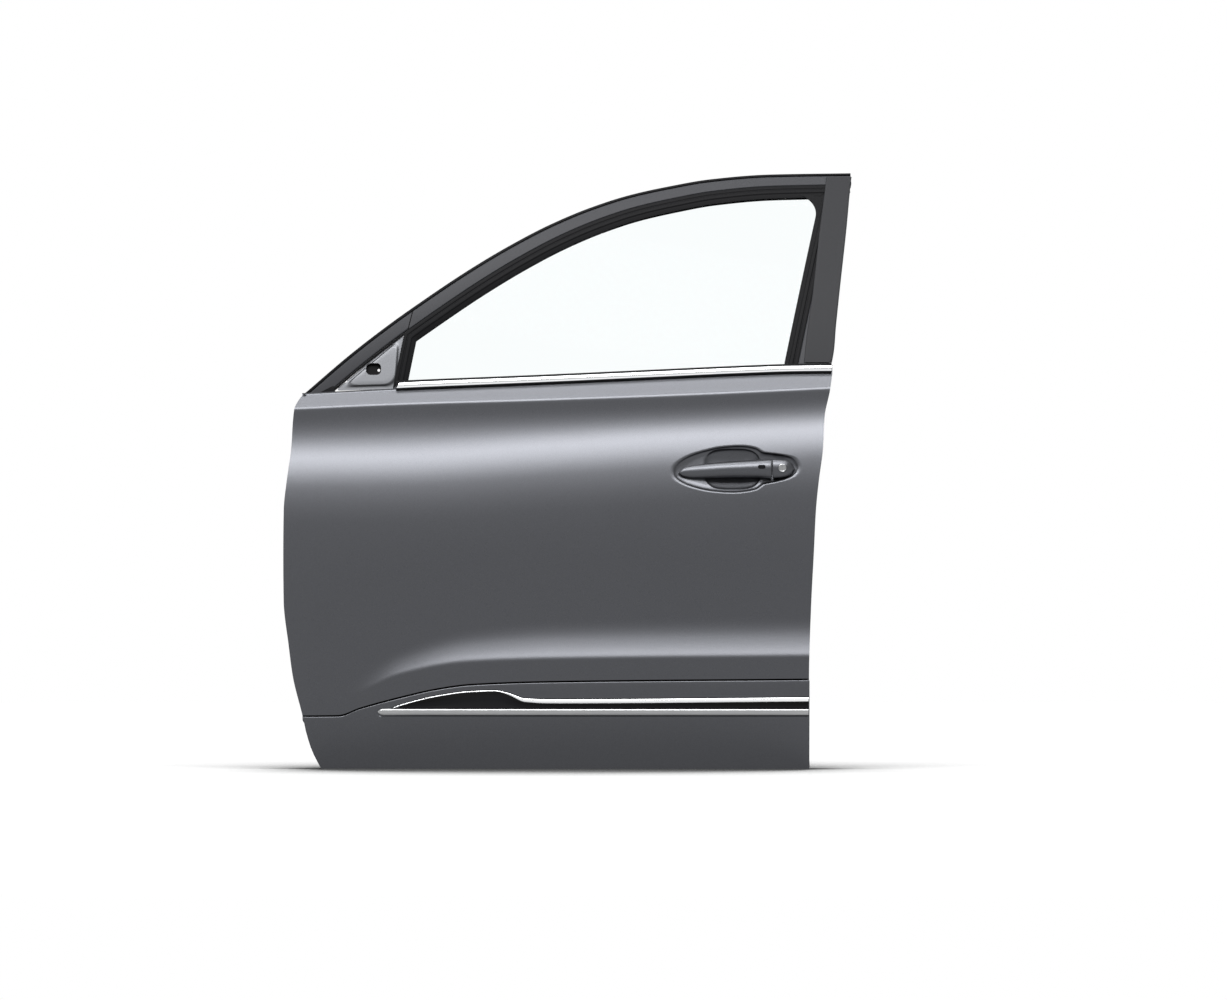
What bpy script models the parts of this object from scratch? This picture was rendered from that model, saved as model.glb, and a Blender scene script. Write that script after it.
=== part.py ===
"""Front left door of a passenger car, seen from outside, hung on its hinge faces.

Metres, +Z up, +X towards the rear of the car, the outside of the door faces -Y.
The origin is the middle of the upper hinge face.
Outlines are hand-read pixel points of a straight-on view, scaled by the door's real
length and height. Depths are metres inboard from the outermost plane of the body side.
"""

import math

import bmesh
import bpy
import numpy as np
from mathutils import Matrix, Vector

# Overall size, and the pixels of the view that it fills
DOOR_LENGTH = 1.138
DOOR_HEIGHT = 1.196
FRONT_PX = 284
REAR_PX = 853
TOP_PX = 170
BOTTOM_PX = 768

# Hinge face, which holds the origin
HINGE_INSET = 0.046
HINGE_DEPTH = 0.092
HINGE_UPPER_HEIGHT = 0.585
HINGE_LOWER_HEIGHT = 0.235

# Sheets and gaps
SKIN_T = 0.0008
INNER_T = 0.0009
REINFORCEMENT_T = 0.0014
FRAME_T = 0.0012
RAIL_T = 0.0015
APPLIQUE_T = 0.0024
SEAL_T = 0.0016
CLEAR = 0.0003
GRIP_GAP = 0.0006
ARC_STEP = 0.045
OVERRUN = 0.004
SLOPE_SHARE = 1.6
FLANGE_BACK = SLOPE_SHARE * (SKIN_T + INNER_T) + CLEAR * 2

# Body side: plan curve, slopes of the surface at its feature lines, in degrees from upright
FRONT_TURN = 0.022
SHOULDER_SLOPE = 38
CREASE_SLOPE = 40
PEAK_SLOPE = 20
UPPER_SLOPE = 10
LOWER_SLOPE = 3
SCOOP_SLOPE = 11
LEDGE_SLOPE = 23
FLAT_SLOPE = -3
SILL_SLOPE = -6
TUCK_SLOPE = -11
HEEL_SLOPE = -20

# Feature lines of the body side, as (across, down) pixels from front to rear
BELT_PX = ((300, 396), (412, 390.5), (540, 385.3), (668, 379.5), (732, 376.6), (796, 374.4), (832, 374))
CREASE_PX = ((295, 408.5), (400, 404), (550, 399.5), (700, 394), (829, 388))
PEAK_PX = ((295, 458), (400, 456), (550, 446), (650, 439), (829, 429))
ZERO_PX = ((290, 604), (310, 595), (340, 576), (400, 560), (470, 552), (550, 548), (830, 548))
SCOOP_PX = ((290, 660), (345, 680), (365, 668), (400, 648), (470, 627), (550, 619), (830, 614))
LEDGE_PX = ((290, 700), (345, 699), (365, 690), (400, 674), (470, 661), (550, 658), (830, 655))
SKIN_END_PX = ((300, 714.5), (340, 714), (360, 707), (400, 696), (440, 687), (470, 683),
               (550, 680), (810, 677.5))
SCOOP_FADE = ((345, 0), (365, 0.35), (400, 0.75), (470, 0.95), (550, 1))
CREASE_ROLL_PX = 2
HOLLOW_PX = 10
UPPER_PX = 30
LOWER_PX = 66
BACK_PX = 25
LEDGE_ROLL_PX = 2.5
SILL_PX = 717
TUCK_PX = 746

# Ends of the body side, as (down, across) pixels from the belt to the bottom
FRONT_EDGE_PX = ((391, 308), (398, 301), (410, 295), (450, 292), (480, 288), (510, 285), (555, 284),
                 (600, 285), (645, 290), (675, 294), (716, 304), (735, 308), (750, 313), (768, 322))
REAR_EDGE_PX = ((372, 832), (392, 829), (416, 824), (450, 822), (480, 818), (510, 815), (550, 813),
                (610, 810), (678, 808), (740, 808), (768, 809))

# Skin
HEM_WIDTH = 0.013
BELT_FLANGE = 0.014
BELT_FLANGE_STEP = 0.003
GARNISH_STEP = 0.011
GARNISH_RAMP_PX = 5

# Handle dish pressed into the skin
DISH_CENTRE_PX = (735, 469.5)
DISH_UPPER_PX = ((673, 472), (676, 464.5), (684, 458.5), (694, 454), (704, 451), (719, 447.6), (734, 446.3),
                 (744, 446.3), (754, 448), (763, 452.6), (774, 454), (784, 455.5), (792, 458),
                 (796.3, 463), (797.6, 468.5))
DISH_LOWER_PX = ((673, 472), (676, 479), (684, 484), (694, 487.5), (704, 490), (719, 492), (734, 492.5),
                 (744, 491.7), (754, 489.8), (764, 484), (774, 482), (784, 479.5), (793, 475.3),
                 (797.6, 468.5))
DISH_WALL = 0.004
DISH_DEPTH = 0.019
DISH_LIP_SHARE = 1.05
DISH_WALL_SHARE = 0.94
DISH_FLOOR_SHARE = 0.62

# Window glass: a cut from a drum whose axis lies inboard, along which the door is almost straight
GLASS_RADIUS = 1.30
GLASS_T = 0.004
GLASS_TILT = 10
GLASS_RAKE = 11
GLASS_TOE = 3
GLASS_BELT_DEPTH = 0.090
GLASS_BELT_PX = (594, 384.5)
GLASS_FRONT_EDGE = 0.3775
GLASS_REAR_EDGE = 0.3765
GLASS_BELOW_BELT = 0.062
WINDOW_TRAVEL = 0.352

# Glass run: rubber that holds the glass edge, as distances beyond that edge and out from the glass
RUN_GRIP = 0.012
RUN_COVER = 0.0145
RUN_ROOT = 0.0052
RUN_COVER_OUT = 0.0078
RUN_BACK = 0.0075
RUN_WALL = 0.0028
RUN_BELOW_BELT = 0.27

# Upper frame: rail sections as widths across the rail and distances out from the glass
ROOF_PX = ((308, 391), (350, 355), (390, 324), (413, 307.5), (470, 269), (510, 245), (550, 224), (590, 207),
           (630, 194), (670, 185), (710, 178), (770, 173), (853, 171.5))
HEADER_FACE = ((308, 0.028), (413, 0.027), (550, 0.025), (700, 0.023), (853, 0.0215))
SEAM_PX = 411.5
SASH_FOOT_PX = 393.6
PILLAR_REAR_PX = ((173, 853), (180, 852), (228, 847), (288, 840), (324, 836), (360, 832), (374, 814), (420, 806))
APPLIQUE_PX = (175.5, 362.5)
PILLAR_FRONT_PX = ((173, 827.5), (186, 826), (230, 820), (290, 813), (340, 806), (364, 803.5))
ROOF_LIP = 0.0055
FACE_OUT = 0.0085
RAIL_DEPTH = 0.022
RAIL_CORNER = 0.002
POCKET_LIP = 0.008

# Sail plate that carries the outside mirror
SAIL_PX = ((338.7, 388.4), (400.5, 338.4), (396.8, 387.2))
SAIL_CORNER_SHARES = (0.08, 0.025, 0.5)
SAIL_OUT = 0.0045
SAIL_T = 0.0016
SAIL_EMBOSS = 0.004
SAIL_BORDER_SHARES = (1, 0.80, 0.72, 0)
SAIL_SLOT_PX = (374, 369.5)
SAIL_SLOT = (0.030, 0.024)
SAIL_SLOT_RADIUS = 0.009
CORNER_RUBBER_PX = ((319, 393.2), (334.5, 385.5), (336, 393.4))
CORNER_RUBBER_T = 0.003
SAIL_HOLES_PX = ((391.5, 343), (346, 381))
SAIL_HOLE_R = 0.0035

# Belt seals: heights above the belt line and distances out from the skin there
CHROME_LOW = 0.0045
CHROME_HIGH = 0.0170
CHROME_OUT = 0.0055
BELT_TOP = 0.0205
BELT_SEAL_LEG = 0.0010
BELT_STATIONS_PX = (396.5, 404, 411, 413, 440, 470, 505, 540, 572, 605, 636, 668, 700, 732, 756, 779, 781, 812, 831)
BELT_FREE_PX = (413, 779)
INNER_SEAL_PX = (413, 774)
CHROME_SECTION_SHARES = ((0, 0), (0, 0.5), (0.2, 1), (0.75, 0.9), (1, 0.3), (1, 0))
INNER_SEAL_HIGH = 0.014
INNER_SEAL_LOW = 0.015
INNER_SEAL_BACK = 0.0032
HAT_PX = (318, 360, 411, 440, 470, 505, 540, 572, 605, 636, 668, 700, 732, 768, 798)
HAT_FOOT = (0.004, 0.012, 0.016, 0.034, 0.038)
RIB_PX = (314, 360, 411, 470, 540, 605, 668, 732, 789, 802)
RIB_DEPTH = 0.012
RIB_ROWS_PX = (3, 8, 15, 20)

# Inner panel
INNER_FACE_DEPTH = 0.150
INNER_BELT_GAP = 0.037
BELT_BLEND_PX = 36
WALL_FRONT_MIN = 0.024
CORNER_SHARE = 7.6
WALL_REAR_INSET = 0.024
WALL_RADIUS = 0.010
FOOT_STEP = 0.012
FLOOR_HEIGHT = 0.034
INNER_SHARES = (0.12, 0.26, 0.42, 0.58, 0.74, 0.88)
ACCESS_PX = (515, 536)
ACCESS_SIZE = (0.36, 0.24)
ACCESS_RADIUS = 0.06
SPEAKER_PX = (375, 655)
SPEAKER_R = 0.078
SPEAKER_SEAT_R = 0.094
SPEAKER_SEAT_RISE = 0.002
SERVICE_PX = (722, 520)
SERVICE_SIZE = (0.13, 0.19)
SERVICE_RADIUS = 0.03
BOLT_HOLE_R = 0.0055
HINGE_PITCH = 0.052
HINGE_PLATE = (0.072, 0.092)
HINGE_PLATE_T = 0.003
THREAD_R = 0.0042
CHECK_SLOT = (0.016, 0.034)
CHECK_HEIGHT = -0.175

# Latch, in its own frame: x out through the rear wall, z up along it
LATCH_CASE = (0.028, 0.060, 0.086)
LATCH_DEPTH = 0.105
LATCH_POCKET = (0.007, 0.052, 0.078)
LATCH_POCKET_IN = 0.0055
FISHMOUTH = (0.040, 0.050, 0.016)
FORK_R = 0.019
FORK_T = 0.005
FORK_AT = (0.002, 0.013)
FORK_SLOT = 0.011
PIN_R = 0.0037
PIN_GAP = 0.0003
PAWL_AT = (-0.012, -0.024)
PAWL_R = 0.0065
PAWL_ARM = (0.006, 0.0206)
ACTUATOR = (0.036, 0.044, 0.092)
SCREW_R = 0.0045
SCREW_HEAD = 0.0022
SCREW_LENGTH = 0.010
SCREW_CROWN_SHARE = 0.7

# Intrusion beam
BEAM_R = 0.015
BEAM_WALL = 0.002
BEAM_FRONT_PX = (312, 560)
BEAM_REAR_PX = (780, 648)
BEAM_STANDOFF = 0.010
BRACKET_SIZE = (0.060, 0.088)
BRACKET_T = 0.002
BRACKET_LEG = 0.02

# Window regulator, on the drum: along the axis and out from the glass
RAIL_ALONG = 0.020
RAIL_HALF = 0.014
RAIL_FOOT = 0.022
RAIL_OUT = 0.028
RAIL_BACK = 0.040
RAIL_TOP = 0.044
RAIL_LENGTH = 0.43
RAIL_BRACKET = 0.015
RAIL_BRACKET_IN = (0.056, 0.017)
CARRIAGE_HALF = 0.034
CARRIAGE_WRAP = 0.028
CARRIAGE_WALL = 0.0042
CARRIAGE_BELOW = 0.032
CARRIAGE_NECK = 0.010
GUIDE_SIZE = (0.080, 0.012, 0.020)
CABLE_R = 0.0022
CABLE_TURNS = (60, -120)
CABLE_BOWS = ((0.10, 0, 0), (0, 0, -0.05))
CABLE_BEND_SHARE = 0.5
DRUM_PX = (640, 628)
DRUM_R = 0.031
DRUM_T = 0.024
MOTOR_R = 0.019
MOTOR_LENGTH = 0.092

# Outside handle: outline in pixels, distances proud of the body side and behind it
GRIP_STATIONS_PX = (679, 684, 690, 700, 714, 730, 745, 758, 766, 770.8)
GRIP_TOP_PX = ((679, 471.2), (684, 467.8), (694, 465.4), (704, 464), (720, 462.3), (734, 461.3), (754, 460.2),
               (772, 459.3))
GRIP_BOTTOM_PX = ((679, 474), (684, 476.8), (694, 478.3), (704, 478.3), (720, 477.8), (734, 477.5),
                  (754, 477.6), (772, 478.5))
CAP_STATIONS_PX = (772, 776, 781, 786, 790, 792.6)
CAP_TOP_PX = ((771, 459.3), (784, 460.3), (790, 462.6), (793.5, 467))
CAP_BOTTOM_PX = ((771, 478.5), (784, 477), (790, 474.4), (793.5, 470.5))
GRIP_PROUD = ((679, 0.003), (690, 0.006), (710, 0.012), (740, 0.015), (772, 0.013))
GRIP_THICK = ((679, 0.004), (690, 0.009), (710, 0.012), (772, 0.013))
CAP_PROUD = ((771, 0.013), (785, 0.009), (793.5, 0.001))
CAP_LIFT = 0.0013
GRIP_SIDES = 14
GRIP_SQUARE_SHARE = 0.8
GRIP_PIVOT_PX = (684, 472)
GRIP_PIVOT_DEPTH = 0.016
GRIP_LEG = 0.008
GRIP_FRONT_LEG_PX = 687
GRIP_FRONT_LEG_DEPTH = 0.022
GRIP_LEG_PX = 763
GRIP_REAR_LEG_DEPTH = 0.030
LEG_HOLE = 0.017
KEY_WALL = 0.0008
KEY_PX = (781.5, 468)
KEY_R = 0.0078
KEY_HOLE_R = 0.0082
KEY_DEPTH = 0.024
KEY_PROUD = 0.0008
KEY_SLOT = (0.0022, 0.003, 0.009)
BUTTON_PX = (761, 467)
BUTTON_SIZE = (0.0145, 0.0074)
BUTTON_DEPTH = 0.005
BUTTON_T = 0.003
BUTTON_SINK = 0.0018
CARRIER_PX = (678, 790)
CARRIER_ROWS_PX = (459, 466, 473, 480)
CARRIER_T = 0.003
CABLE_START_PX = (786, 479)

# Garnish along the sill
GARNISH_GAP_PX = 1.6
GARNISH_FRONT_PX = 304
GARNISH_PLAIN_PX = (325, 337, 350, 365)
GARNISH_PX = (379, 382, 386, 394, 400, 420, 440, 470, 495, 510, 525, 550, 620, 700, 760)
GARNISH_REAR_PX = 808.5
GARNISH_TOP_PX = ((300, 717), (379, 711.5), (400, 704), (440, 694), (470, 690), (495, 689), (510, 692), (525, 697),
                  (550, 698), (810, 696))
GARNISH_LOW_PX = 715.5
GARNISH_T = 0.0025
RECESS_DEPTH = 0.007
RECESS_WALL_PX = 0.3
RECESS_FADE = ((379, 0), (392, 0.6), (430, 1))
CHROME_TIP_PX = 394
CHROME_STRIP_HEIGHT = ((376, 0.0022), (500, 0.0026), (525, 0.0075), (560, 0.0085), (810, 0.0085))
INSERT_TIP_PX = 400
INSERT_T = 0.0015
SATIN_PX = (708, 714)
SATIN_TIP_SHARES = ((379, 0.3), (382, 0.85), (386, 1), (810, 1))
TRIM_END_PX = 807.5
TRIM_RISE = 0.003
STRIP_ROUND_SHARE = 0.25
GARNISH_FLOOR_GAP = 0.0005

# Seal around the body of the door
SEAL_R = 0.006
SEAL_INSET = 0.019
SEAL_ROWS_PX = (443, 480, 520, 560, 600, 640, 680, 712)


def across(px):
    """World x of a pixel column."""
    return (np.asarray(px, float) - FRONT_PX) * DOOR_LENGTH / (REAR_PX - FRONT_PX) - HINGE_INSET


def up(py):
    """World z of a pixel row."""
    return (BOTTOM_PX - np.asarray(py, float)) * DOOR_HEIGHT / (BOTTOM_PX - TOP_PX) - HINGE_UPPER_HEIGHT


def inboard(depth):
    """World y of a depth behind the outermost plane of the body side."""
    return np.asarray(depth, float) - HINGE_DEPTH


def column(x):
    """Pixel column of a world x."""
    return (np.asarray(x, float) + HINGE_INSET) * (REAR_PX - FRONT_PX) / DOOR_LENGTH + FRONT_PX


def row(z):
    """Pixel row of a world z."""
    return BOTTOM_PX - (np.asarray(z, float) + HINGE_UPPER_HEIGHT) * (BOTTOM_PX - TOP_PX) / DOOR_HEIGHT


def smooth(at, knots):
    """Curve through knots that keeps their rises and falls, held level past both ends."""
    x, y = np.array(knots, float).T
    step = np.diff(x)
    chord = np.diff(y) / step
    tangent = np.zeros(len(x))
    tangent[0], tangent[-1] = chord[0], chord[-1]
    same = chord[:-1] * chord[1:] > 0
    before, after = 2 * step[1:] + step[:-1], step[1:] + 2 * step[:-1]
    inner = np.zeros(len(same))
    mean = before[same] / chord[:-1][same] + after[same] / chord[1:][same]
    inner[same] = (before + after)[same] / mean
    tangent[1:-1] = inner
    at = np.clip(np.asarray(at, float), x[0], x[-1])
    i = np.clip(np.searchsorted(x, at, side="right") - 1, 0, len(x) - 2)
    h = step[i]
    t = (at - x[i]) / h
    return ((1 + 2 * t) * (1 - t) ** 2 * y[i] + t * (1 - t) ** 2 * h * tangent[i]
            + t * t * (3 - 2 * t) * y[i + 1] - t * t * (1 - t) * h * tangent[i + 1])


def front_edge(py):
    return smooth(py, FRONT_EDGE_PX)


def rear_edge(py):
    return smooth(py, REAR_EDGE_PX)


def plan_depth(px):
    """Turn-in of the outermost line of the side towards the front of the car."""
    share = (np.asarray(px, float) - FRONT_PX) / (rear_edge(SILL_PX) - FRONT_PX)
    return FRONT_TURN * (1 - np.clip(share, 0, 1)) ** 2


def side_lines(px):
    """Pixel rows and surface slopes of the body side's feature lines at pixel columns px."""
    px = np.asarray(px, float)
    belt = smooth(px, BELT_PX)
    crease = smooth(px, CREASE_PX)
    peak = smooth(px, PEAK_PX)
    zero = smooth(px, ZERO_PX)
    scoop = smooth(px, SCOOP_PX)
    ledge = smooth(px, LEDGE_PX)
    end = smooth(px, SKIN_END_PX)
    fade = smooth(px, SCOOP_FADE)
    lines = ((belt, SHOULDER_SLOPE), (crease - CREASE_ROLL_PX, CREASE_SLOPE), (crease + CREASE_ROLL_PX, 0),
             (crease + HOLLOW_PX, 1), (peak, PEAK_SLOPE), (peak + UPPER_PX, UPPER_SLOPE),
             (peak + LOWER_PX, LOWER_SLOPE), (zero, 0), (zero + BACK_PX, FLAT_SLOPE), (scoop, 0),
             ((scoop + ledge) / 2, SCOOP_SLOPE * fade), (ledge - LEDGE_ROLL_PX, LEDGE_SLOPE * fade),
             (ledge + LEDGE_ROLL_PX, FLAT_SLOPE), (end, FLAT_SLOPE), (0 * px + SILL_PX, SILL_SLOPE),
             (0 * px + TUCK_PX, TUCK_SLOPE), (0 * px + BOTTOM_PX, HEEL_SLOPE))
    rows = np.stack([line + 0 * px for line, slope in lines])
    slopes = np.stack([np.tan(np.radians(slope)) + 0 * px for line, slope in lines])
    return rows, slopes


BELT, SHOULDER, CREASE, HOLLOW, PEAK, UPPER, LOWER, ZERO, BACK, SCOOP, BASIN, LEDGE, FLAT, END, SILL, TUCK, \
    BOTTOM = range(17)


def side_depth(px, py):
    """Depth of the body side's outer surface: its slopes summed down from the belt."""
    px, py = np.broadcast_arrays(np.asarray(px, float), np.asarray(py, float))
    rows, slopes = side_lines(px)
    height = DOOR_HEIGHT / (BOTTOM_PX - TOP_PX)
    depth = np.zeros(px.shape)
    level = np.zeros(px.shape)
    for i in range(len(rows) - 1):
        gap = np.maximum(rows[i + 1] - rows[i], 1e-6)
        t = np.clip((py - rows[i]) / gap, 0, 1)
        change = slopes[i + 1] - slopes[i]
        depth -= gap * height * (t * slopes[i] + t * t / 2 * change)
        if i < ZERO:
            level -= gap * height * (slopes[i] + change / 2)
    return depth - level + plan_depth(px)


def skin_depth(px, py):
    """Depth of the skin, which steps in behind the garnish below its visible end."""
    px, py = np.broadcast_arrays(np.asarray(px, float), np.asarray(py, float))
    end = smooth(px, SKIN_END_PX)
    return side_depth(px, py) + GARNISH_STEP * np.clip((py - end) / GARNISH_RAMP_PX, 0, 1)


def side_cells(rows, columns):
    """Pixel grid whose rows follow feature lines and whose columns run between the edges.

    rows are line numbers with a fraction to the next line. columns are (share of the
    length, metres beyond that share).
    """
    rows = np.array(rows, float)[:, None]
    share, offset = np.array(columns, float).T
    offset = offset * (REAR_PX - FRONT_PX) / DOOR_LENGTH
    whole = np.minimum(rows.astype(int), BOTTOM - 1)
    py = 0 * rows + 0 * share + (BELT_PX[0][1] + BOTTOM_PX) / 2
    for _ in range(5):
        front = front_edge(py)
        px = front + share * (rear_edge(py) - front) + offset
        lines, _slopes = side_lines(px)
        low = np.take_along_axis(lines, np.broadcast_to(whole, px.shape)[None], 0)[0]
        high = np.take_along_axis(lines, np.broadcast_to(whole + 1, px.shape)[None], 0)[0]
        py = low + (rows - whole) * (high - low)
    return px, py


def points(px, py, depth):
    """World points of pixel columns, pixel rows and depths."""
    px, py, depth = np.broadcast_arrays(px, py, depth)
    return np.stack([across(px), inboard(depth), up(py)], axis=-1)


class GlassDrum:
    """The drum that the window glass is cut from, with places on it as (along, around, out)."""

    def __init__(self):
        rake, toe, tilt = (math.radians(a) for a in (GLASS_RAKE, GLASS_TOE, GLASS_TILT))
        self.axis = np.array([math.cos(rake) * math.cos(toe), -math.cos(rake) * math.sin(toe), -math.sin(rake)])
        out = np.array([0, -1.0, 0])
        out -= out @ self.axis * self.axis
        self.out = out / np.linalg.norm(out)
        self.up = np.cross(self.out, self.axis)
        belt = points(*GLASS_BELT_PX, GLASS_BELT_DEPTH)
        normal = math.cos(tilt) * self.out + math.sin(tilt) * self.up
        self.centre = belt - GLASS_RADIUS * normal

    def place(self, along, around, out=0.0):
        """World points of drum places."""
        along, around, out = np.broadcast_arrays(np.asarray(along, float), around, out)
        turn = around / GLASS_RADIUS
        radial = np.cos(turn)[..., None] * self.out + np.sin(turn)[..., None] * self.up
        return self.centre + along[..., None] * self.axis + (GLASS_RADIUS + out)[..., None] * radial

    def world_y(self, x, z, out=0.0):
        """World y of the drum's outboard face at x and z."""
        a = self.axis
        dx, dz = x - self.centre[0], z - self.centre[2]
        k = dx * a[0] + dz * a[2]
        q = 1 - a[1] ** 2
        room = dx ** 2 + dz ** 2 - k * k - (GLASS_RADIUS + out) ** 2
        return self.centre[1] + (2 * k * a[1] - np.sqrt(4 * k * k * a[1] ** 2 - 4 * q * room)) / (2 * q)

    def at_pixel(self, px, py, out=0.0):
        """Drum places (along, around) seen at pixels."""
        x, z = across(px), up(py)
        rel = np.stack([x, self.world_y(x, z, out), z], axis=-1) - self.centre
        return rel @ self.axis, GLASS_RADIUS * np.arctan2(rel @ self.up, rel @ self.out)


DRUM = GlassDrum()

PAINT = ("paint", (0.085, 0.088, 0.095), 0.32, 0.7)
FRAME_PAINT = ("frame_paint", (0.055, 0.056, 0.060), 0.45, 0.4)
PRIMER = ("primer", (0.13, 0.13, 0.135), 0.6, 0.2)
CHROME = ("chrome", (0.80, 0.81, 0.82), 0.08, 1.0)
SATIN = ("satin", (0.38, 0.38, 0.39), 0.35, 0.9)
SATIN_GREY = ("satin_grey", (0.10, 0.10, 0.105), 0.4, 0.5)
RUBBER = ("rubber", (0.012, 0.012, 0.013), 0.7, 0.0)
GLOSS_BLACK = ("gloss_black", (0.010, 0.010, 0.012), 0.1, 0.0)
BLACK_PLASTIC = ("black_plastic", (0.02, 0.02, 0.022), 0.55, 0.0)
ZINC = ("zinc", (0.42, 0.42, 0.40), 0.4, 0.9)
GLASS = ("glass", (0.80, 0.88, 0.87), 0.02, 0.0)

MODEL = "front_left_door"
CUTTERS = "cutters"


def clear_scene():
    """Remove whatever the open file holds."""
    for item in list(bpy.data.objects):
        bpy.data.objects.remove(item, do_unlink=True)
    for name in (MODEL, CUTTERS):
        bpy.context.scene.collection.children.link(bpy.data.collections.new(name))


def finish_of(kind):
    """Material of a finish, made once."""
    name, colour, roughness, metallic = kind
    material = bpy.data.materials.get(name)
    if material is None:
        material = bpy.data.materials.new(name)
        material.use_nodes = True
        shader = material.node_tree.nodes["Principled BSDF"]
        shader.inputs["Base Color"].default_value = (*colour, 1)
        shader.inputs["Roughness"].default_value = roughness
        shader.inputs["Metallic"].default_value = metallic
        material.diffuse_color = (*colour, 1)
    return material


def add(name, data, kind, collection=MODEL):
    """Put data into the scene as an object with its finish."""
    item = bpy.data.objects.new(name, data)
    bpy.data.collections[collection].objects.link(item)
    if kind:
        data.materials.append(finish_of(kind))
    if collection == CUTTERS:
        item.hide_render = True
        item.display_type = "WIRE"
    return item


def grid_faces(mesh, grid, skip=None, ring=False):
    """Add a grid of points to a bmesh as four-sided faces."""
    verts = [[mesh.verts.new(p) for p in line] for line in grid]
    count = len(grid[0])
    for i in range(len(grid) - 1):
        for j in range(count if ring else count - 1):
            if skip is None or not skip(i, j):
                k = (j + 1) % count
                mesh.faces.new((verts[i][j], verts[i][k], verts[i + 1][k], verts[i + 1][j]))
    return verts


def settle(mesh, outward):
    """Join equal points, drop loose ones and turn the open surface to face outward."""
    bmesh.ops.delete(mesh, geom=[v for v in mesh.verts if not v.link_faces], context="VERTS")
    bmesh.ops.remove_doubles(mesh, verts=mesh.verts, dist=CLEAR / 30)
    bmesh.ops.recalc_face_normals(mesh, faces=mesh.faces)
    lean = sum((f.normal * f.calc_area() for f in mesh.faces), Vector())
    if lean.dot(Vector(outward)) < 0:
        bmesh.ops.reverse_faces(mesh, faces=mesh.faces)


def sheet(name, grids, thickness, kind, outward, offset=-1):
    """Open surface of one or more grids, given its thickness by Solidify."""
    mesh = bmesh.new()
    for grid in grids:
        if isinstance(grid, dict):
            grid_faces(mesh, grid["grid"], grid.get("skip"), grid.get("ring", False))
        else:
            grid_faces(mesh, grid)
    settle(mesh, outward)
    data = bpy.data.meshes.new(name)
    mesh.to_mesh(data)
    mesh.free()
    item = add(name, data, kind)
    wall = item.modifiers.new("wall", "SOLIDIFY")
    wall.thickness = thickness
    wall.offset = offset
    wall.use_even_offset = True
    return item


def loft(name, loops, kind, collection=MODEL):
    """Closed body through closed sections, with a flat face on each end."""
    mesh = bmesh.new()
    verts = grid_faces(mesh, loops, ring=True)
    mesh.faces.new(verts[0])
    mesh.faces.new(verts[-1])
    bmesh.ops.recalc_face_normals(mesh, faces=mesh.faces)
    data = bpy.data.meshes.new(name)
    mesh.to_mesh(data)
    mesh.free()
    return add(name, data, kind, collection)


def placed(item, location=(0, 0, 0), rotation=None):
    """Move a new object to its place; rotation is a 3x3 matrix."""
    turn = rotation.to_4x4() if rotation else Matrix.Identity(4)
    item.matrix_world = Matrix.Translation(Vector(location)) @ turn
    return item


def box(name, size, location, kind=None, rotation=None, collection=MODEL, bevel=0):
    """Box primitive of a size, centred on a place."""
    mesh = bmesh.new()
    bmesh.ops.create_cube(mesh, size=1, matrix=Matrix.Diagonal((*size, 1)))
    data = bpy.data.meshes.new(name)
    mesh.to_mesh(data)
    mesh.free()
    item = placed(add(name, data, kind, collection), location, rotation)
    if bevel:
        edge = item.modifiers.new("edge", "BEVEL")
        edge.width = bevel
        edge.segments = 1
    return item


def disc(name, radius, length, location, kind=None, rotation=None, collection=MODEL, sides=24, end_radius=None):
    """Cylinder or cone primitive along local z, centred on a place."""
    mesh = bmesh.new()
    bmesh.ops.create_cone(mesh, cap_ends=True, segments=sides, radius1=radius,
                          radius2=radius if end_radius is None else end_radius, depth=length)
    data = bpy.data.meshes.new(name)
    mesh.to_mesh(data)
    mesh.free()
    item = placed(add(name, data, kind, collection), location, rotation)
    data.set_sharp_from_angle(angle=math.radians(30))
    return item


def turned(name, profile, location, kind, rotation=None, steps=24):
    """Profile of (radius, height) points from top to bottom, turned about local z."""
    data = bpy.data.meshes.new(name)
    data.from_pydata([(r, 0, h) for r, h in profile], [(i, i + 1) for i in range(len(profile) - 1)], [])
    item = placed(add(name, data, kind), location, rotation)
    screw = item.modifiers.new("turn", "SCREW")
    screw.steps = steps
    screw.render_steps = steps
    screw.use_merge_vertices = True
    screw.merge_threshold = CLEAR / 30
    return item


def outline_solid(name, outline, thickness, location, kind=None, rotation=None, collection=MODEL):
    """Flat outline in local x and y, thickened to both sides along local z."""
    curve = bpy.data.curves.new(name, "CURVE")
    curve.dimensions = "2D"
    curve.fill_mode = "BOTH"
    curve.extrude = thickness / 2
    spline = curve.splines.new("POLY")
    spline.points.add(len(outline) - 1)
    for point, (x, y) in zip(spline.points, outline):
        point.co = (x, y, 0, 1)
    spline.use_cyclic_u = True
    guide = add(name + "_curve", curve, None, collection)
    bpy.context.view_layer.update()
    data = bpy.data.meshes.new_from_object(guide.evaluated_get(bpy.context.evaluated_depsgraph_get()))
    bpy.data.objects.remove(guide, do_unlink=True)
    mesh = bmesh.new()
    mesh.from_mesh(data)
    bmesh.ops.remove_doubles(mesh, verts=mesh.verts, dist=CLEAR / 30)
    bmesh.ops.recalc_face_normals(mesh, faces=mesh.faces)
    mesh.to_mesh(data)
    mesh.free()
    data.name = name
    return placed(add(name, data, kind, collection), location, rotation)


def rod(name, route, radius, kind, sides=2):
    """Round wire or tube along world points."""
    curve = bpy.data.curves.new(name, "CURVE")
    curve.dimensions = "3D"
    curve.bevel_depth = radius
    curve.bevel_resolution = sides
    curve.use_fill_caps = True
    spline = curve.splines.new("POLY")
    spline.points.add(len(route) - 1)
    for point, place in zip(spline.points, route):
        point.co = (*place, 1)
    return add(name, curve, kind)


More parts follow.
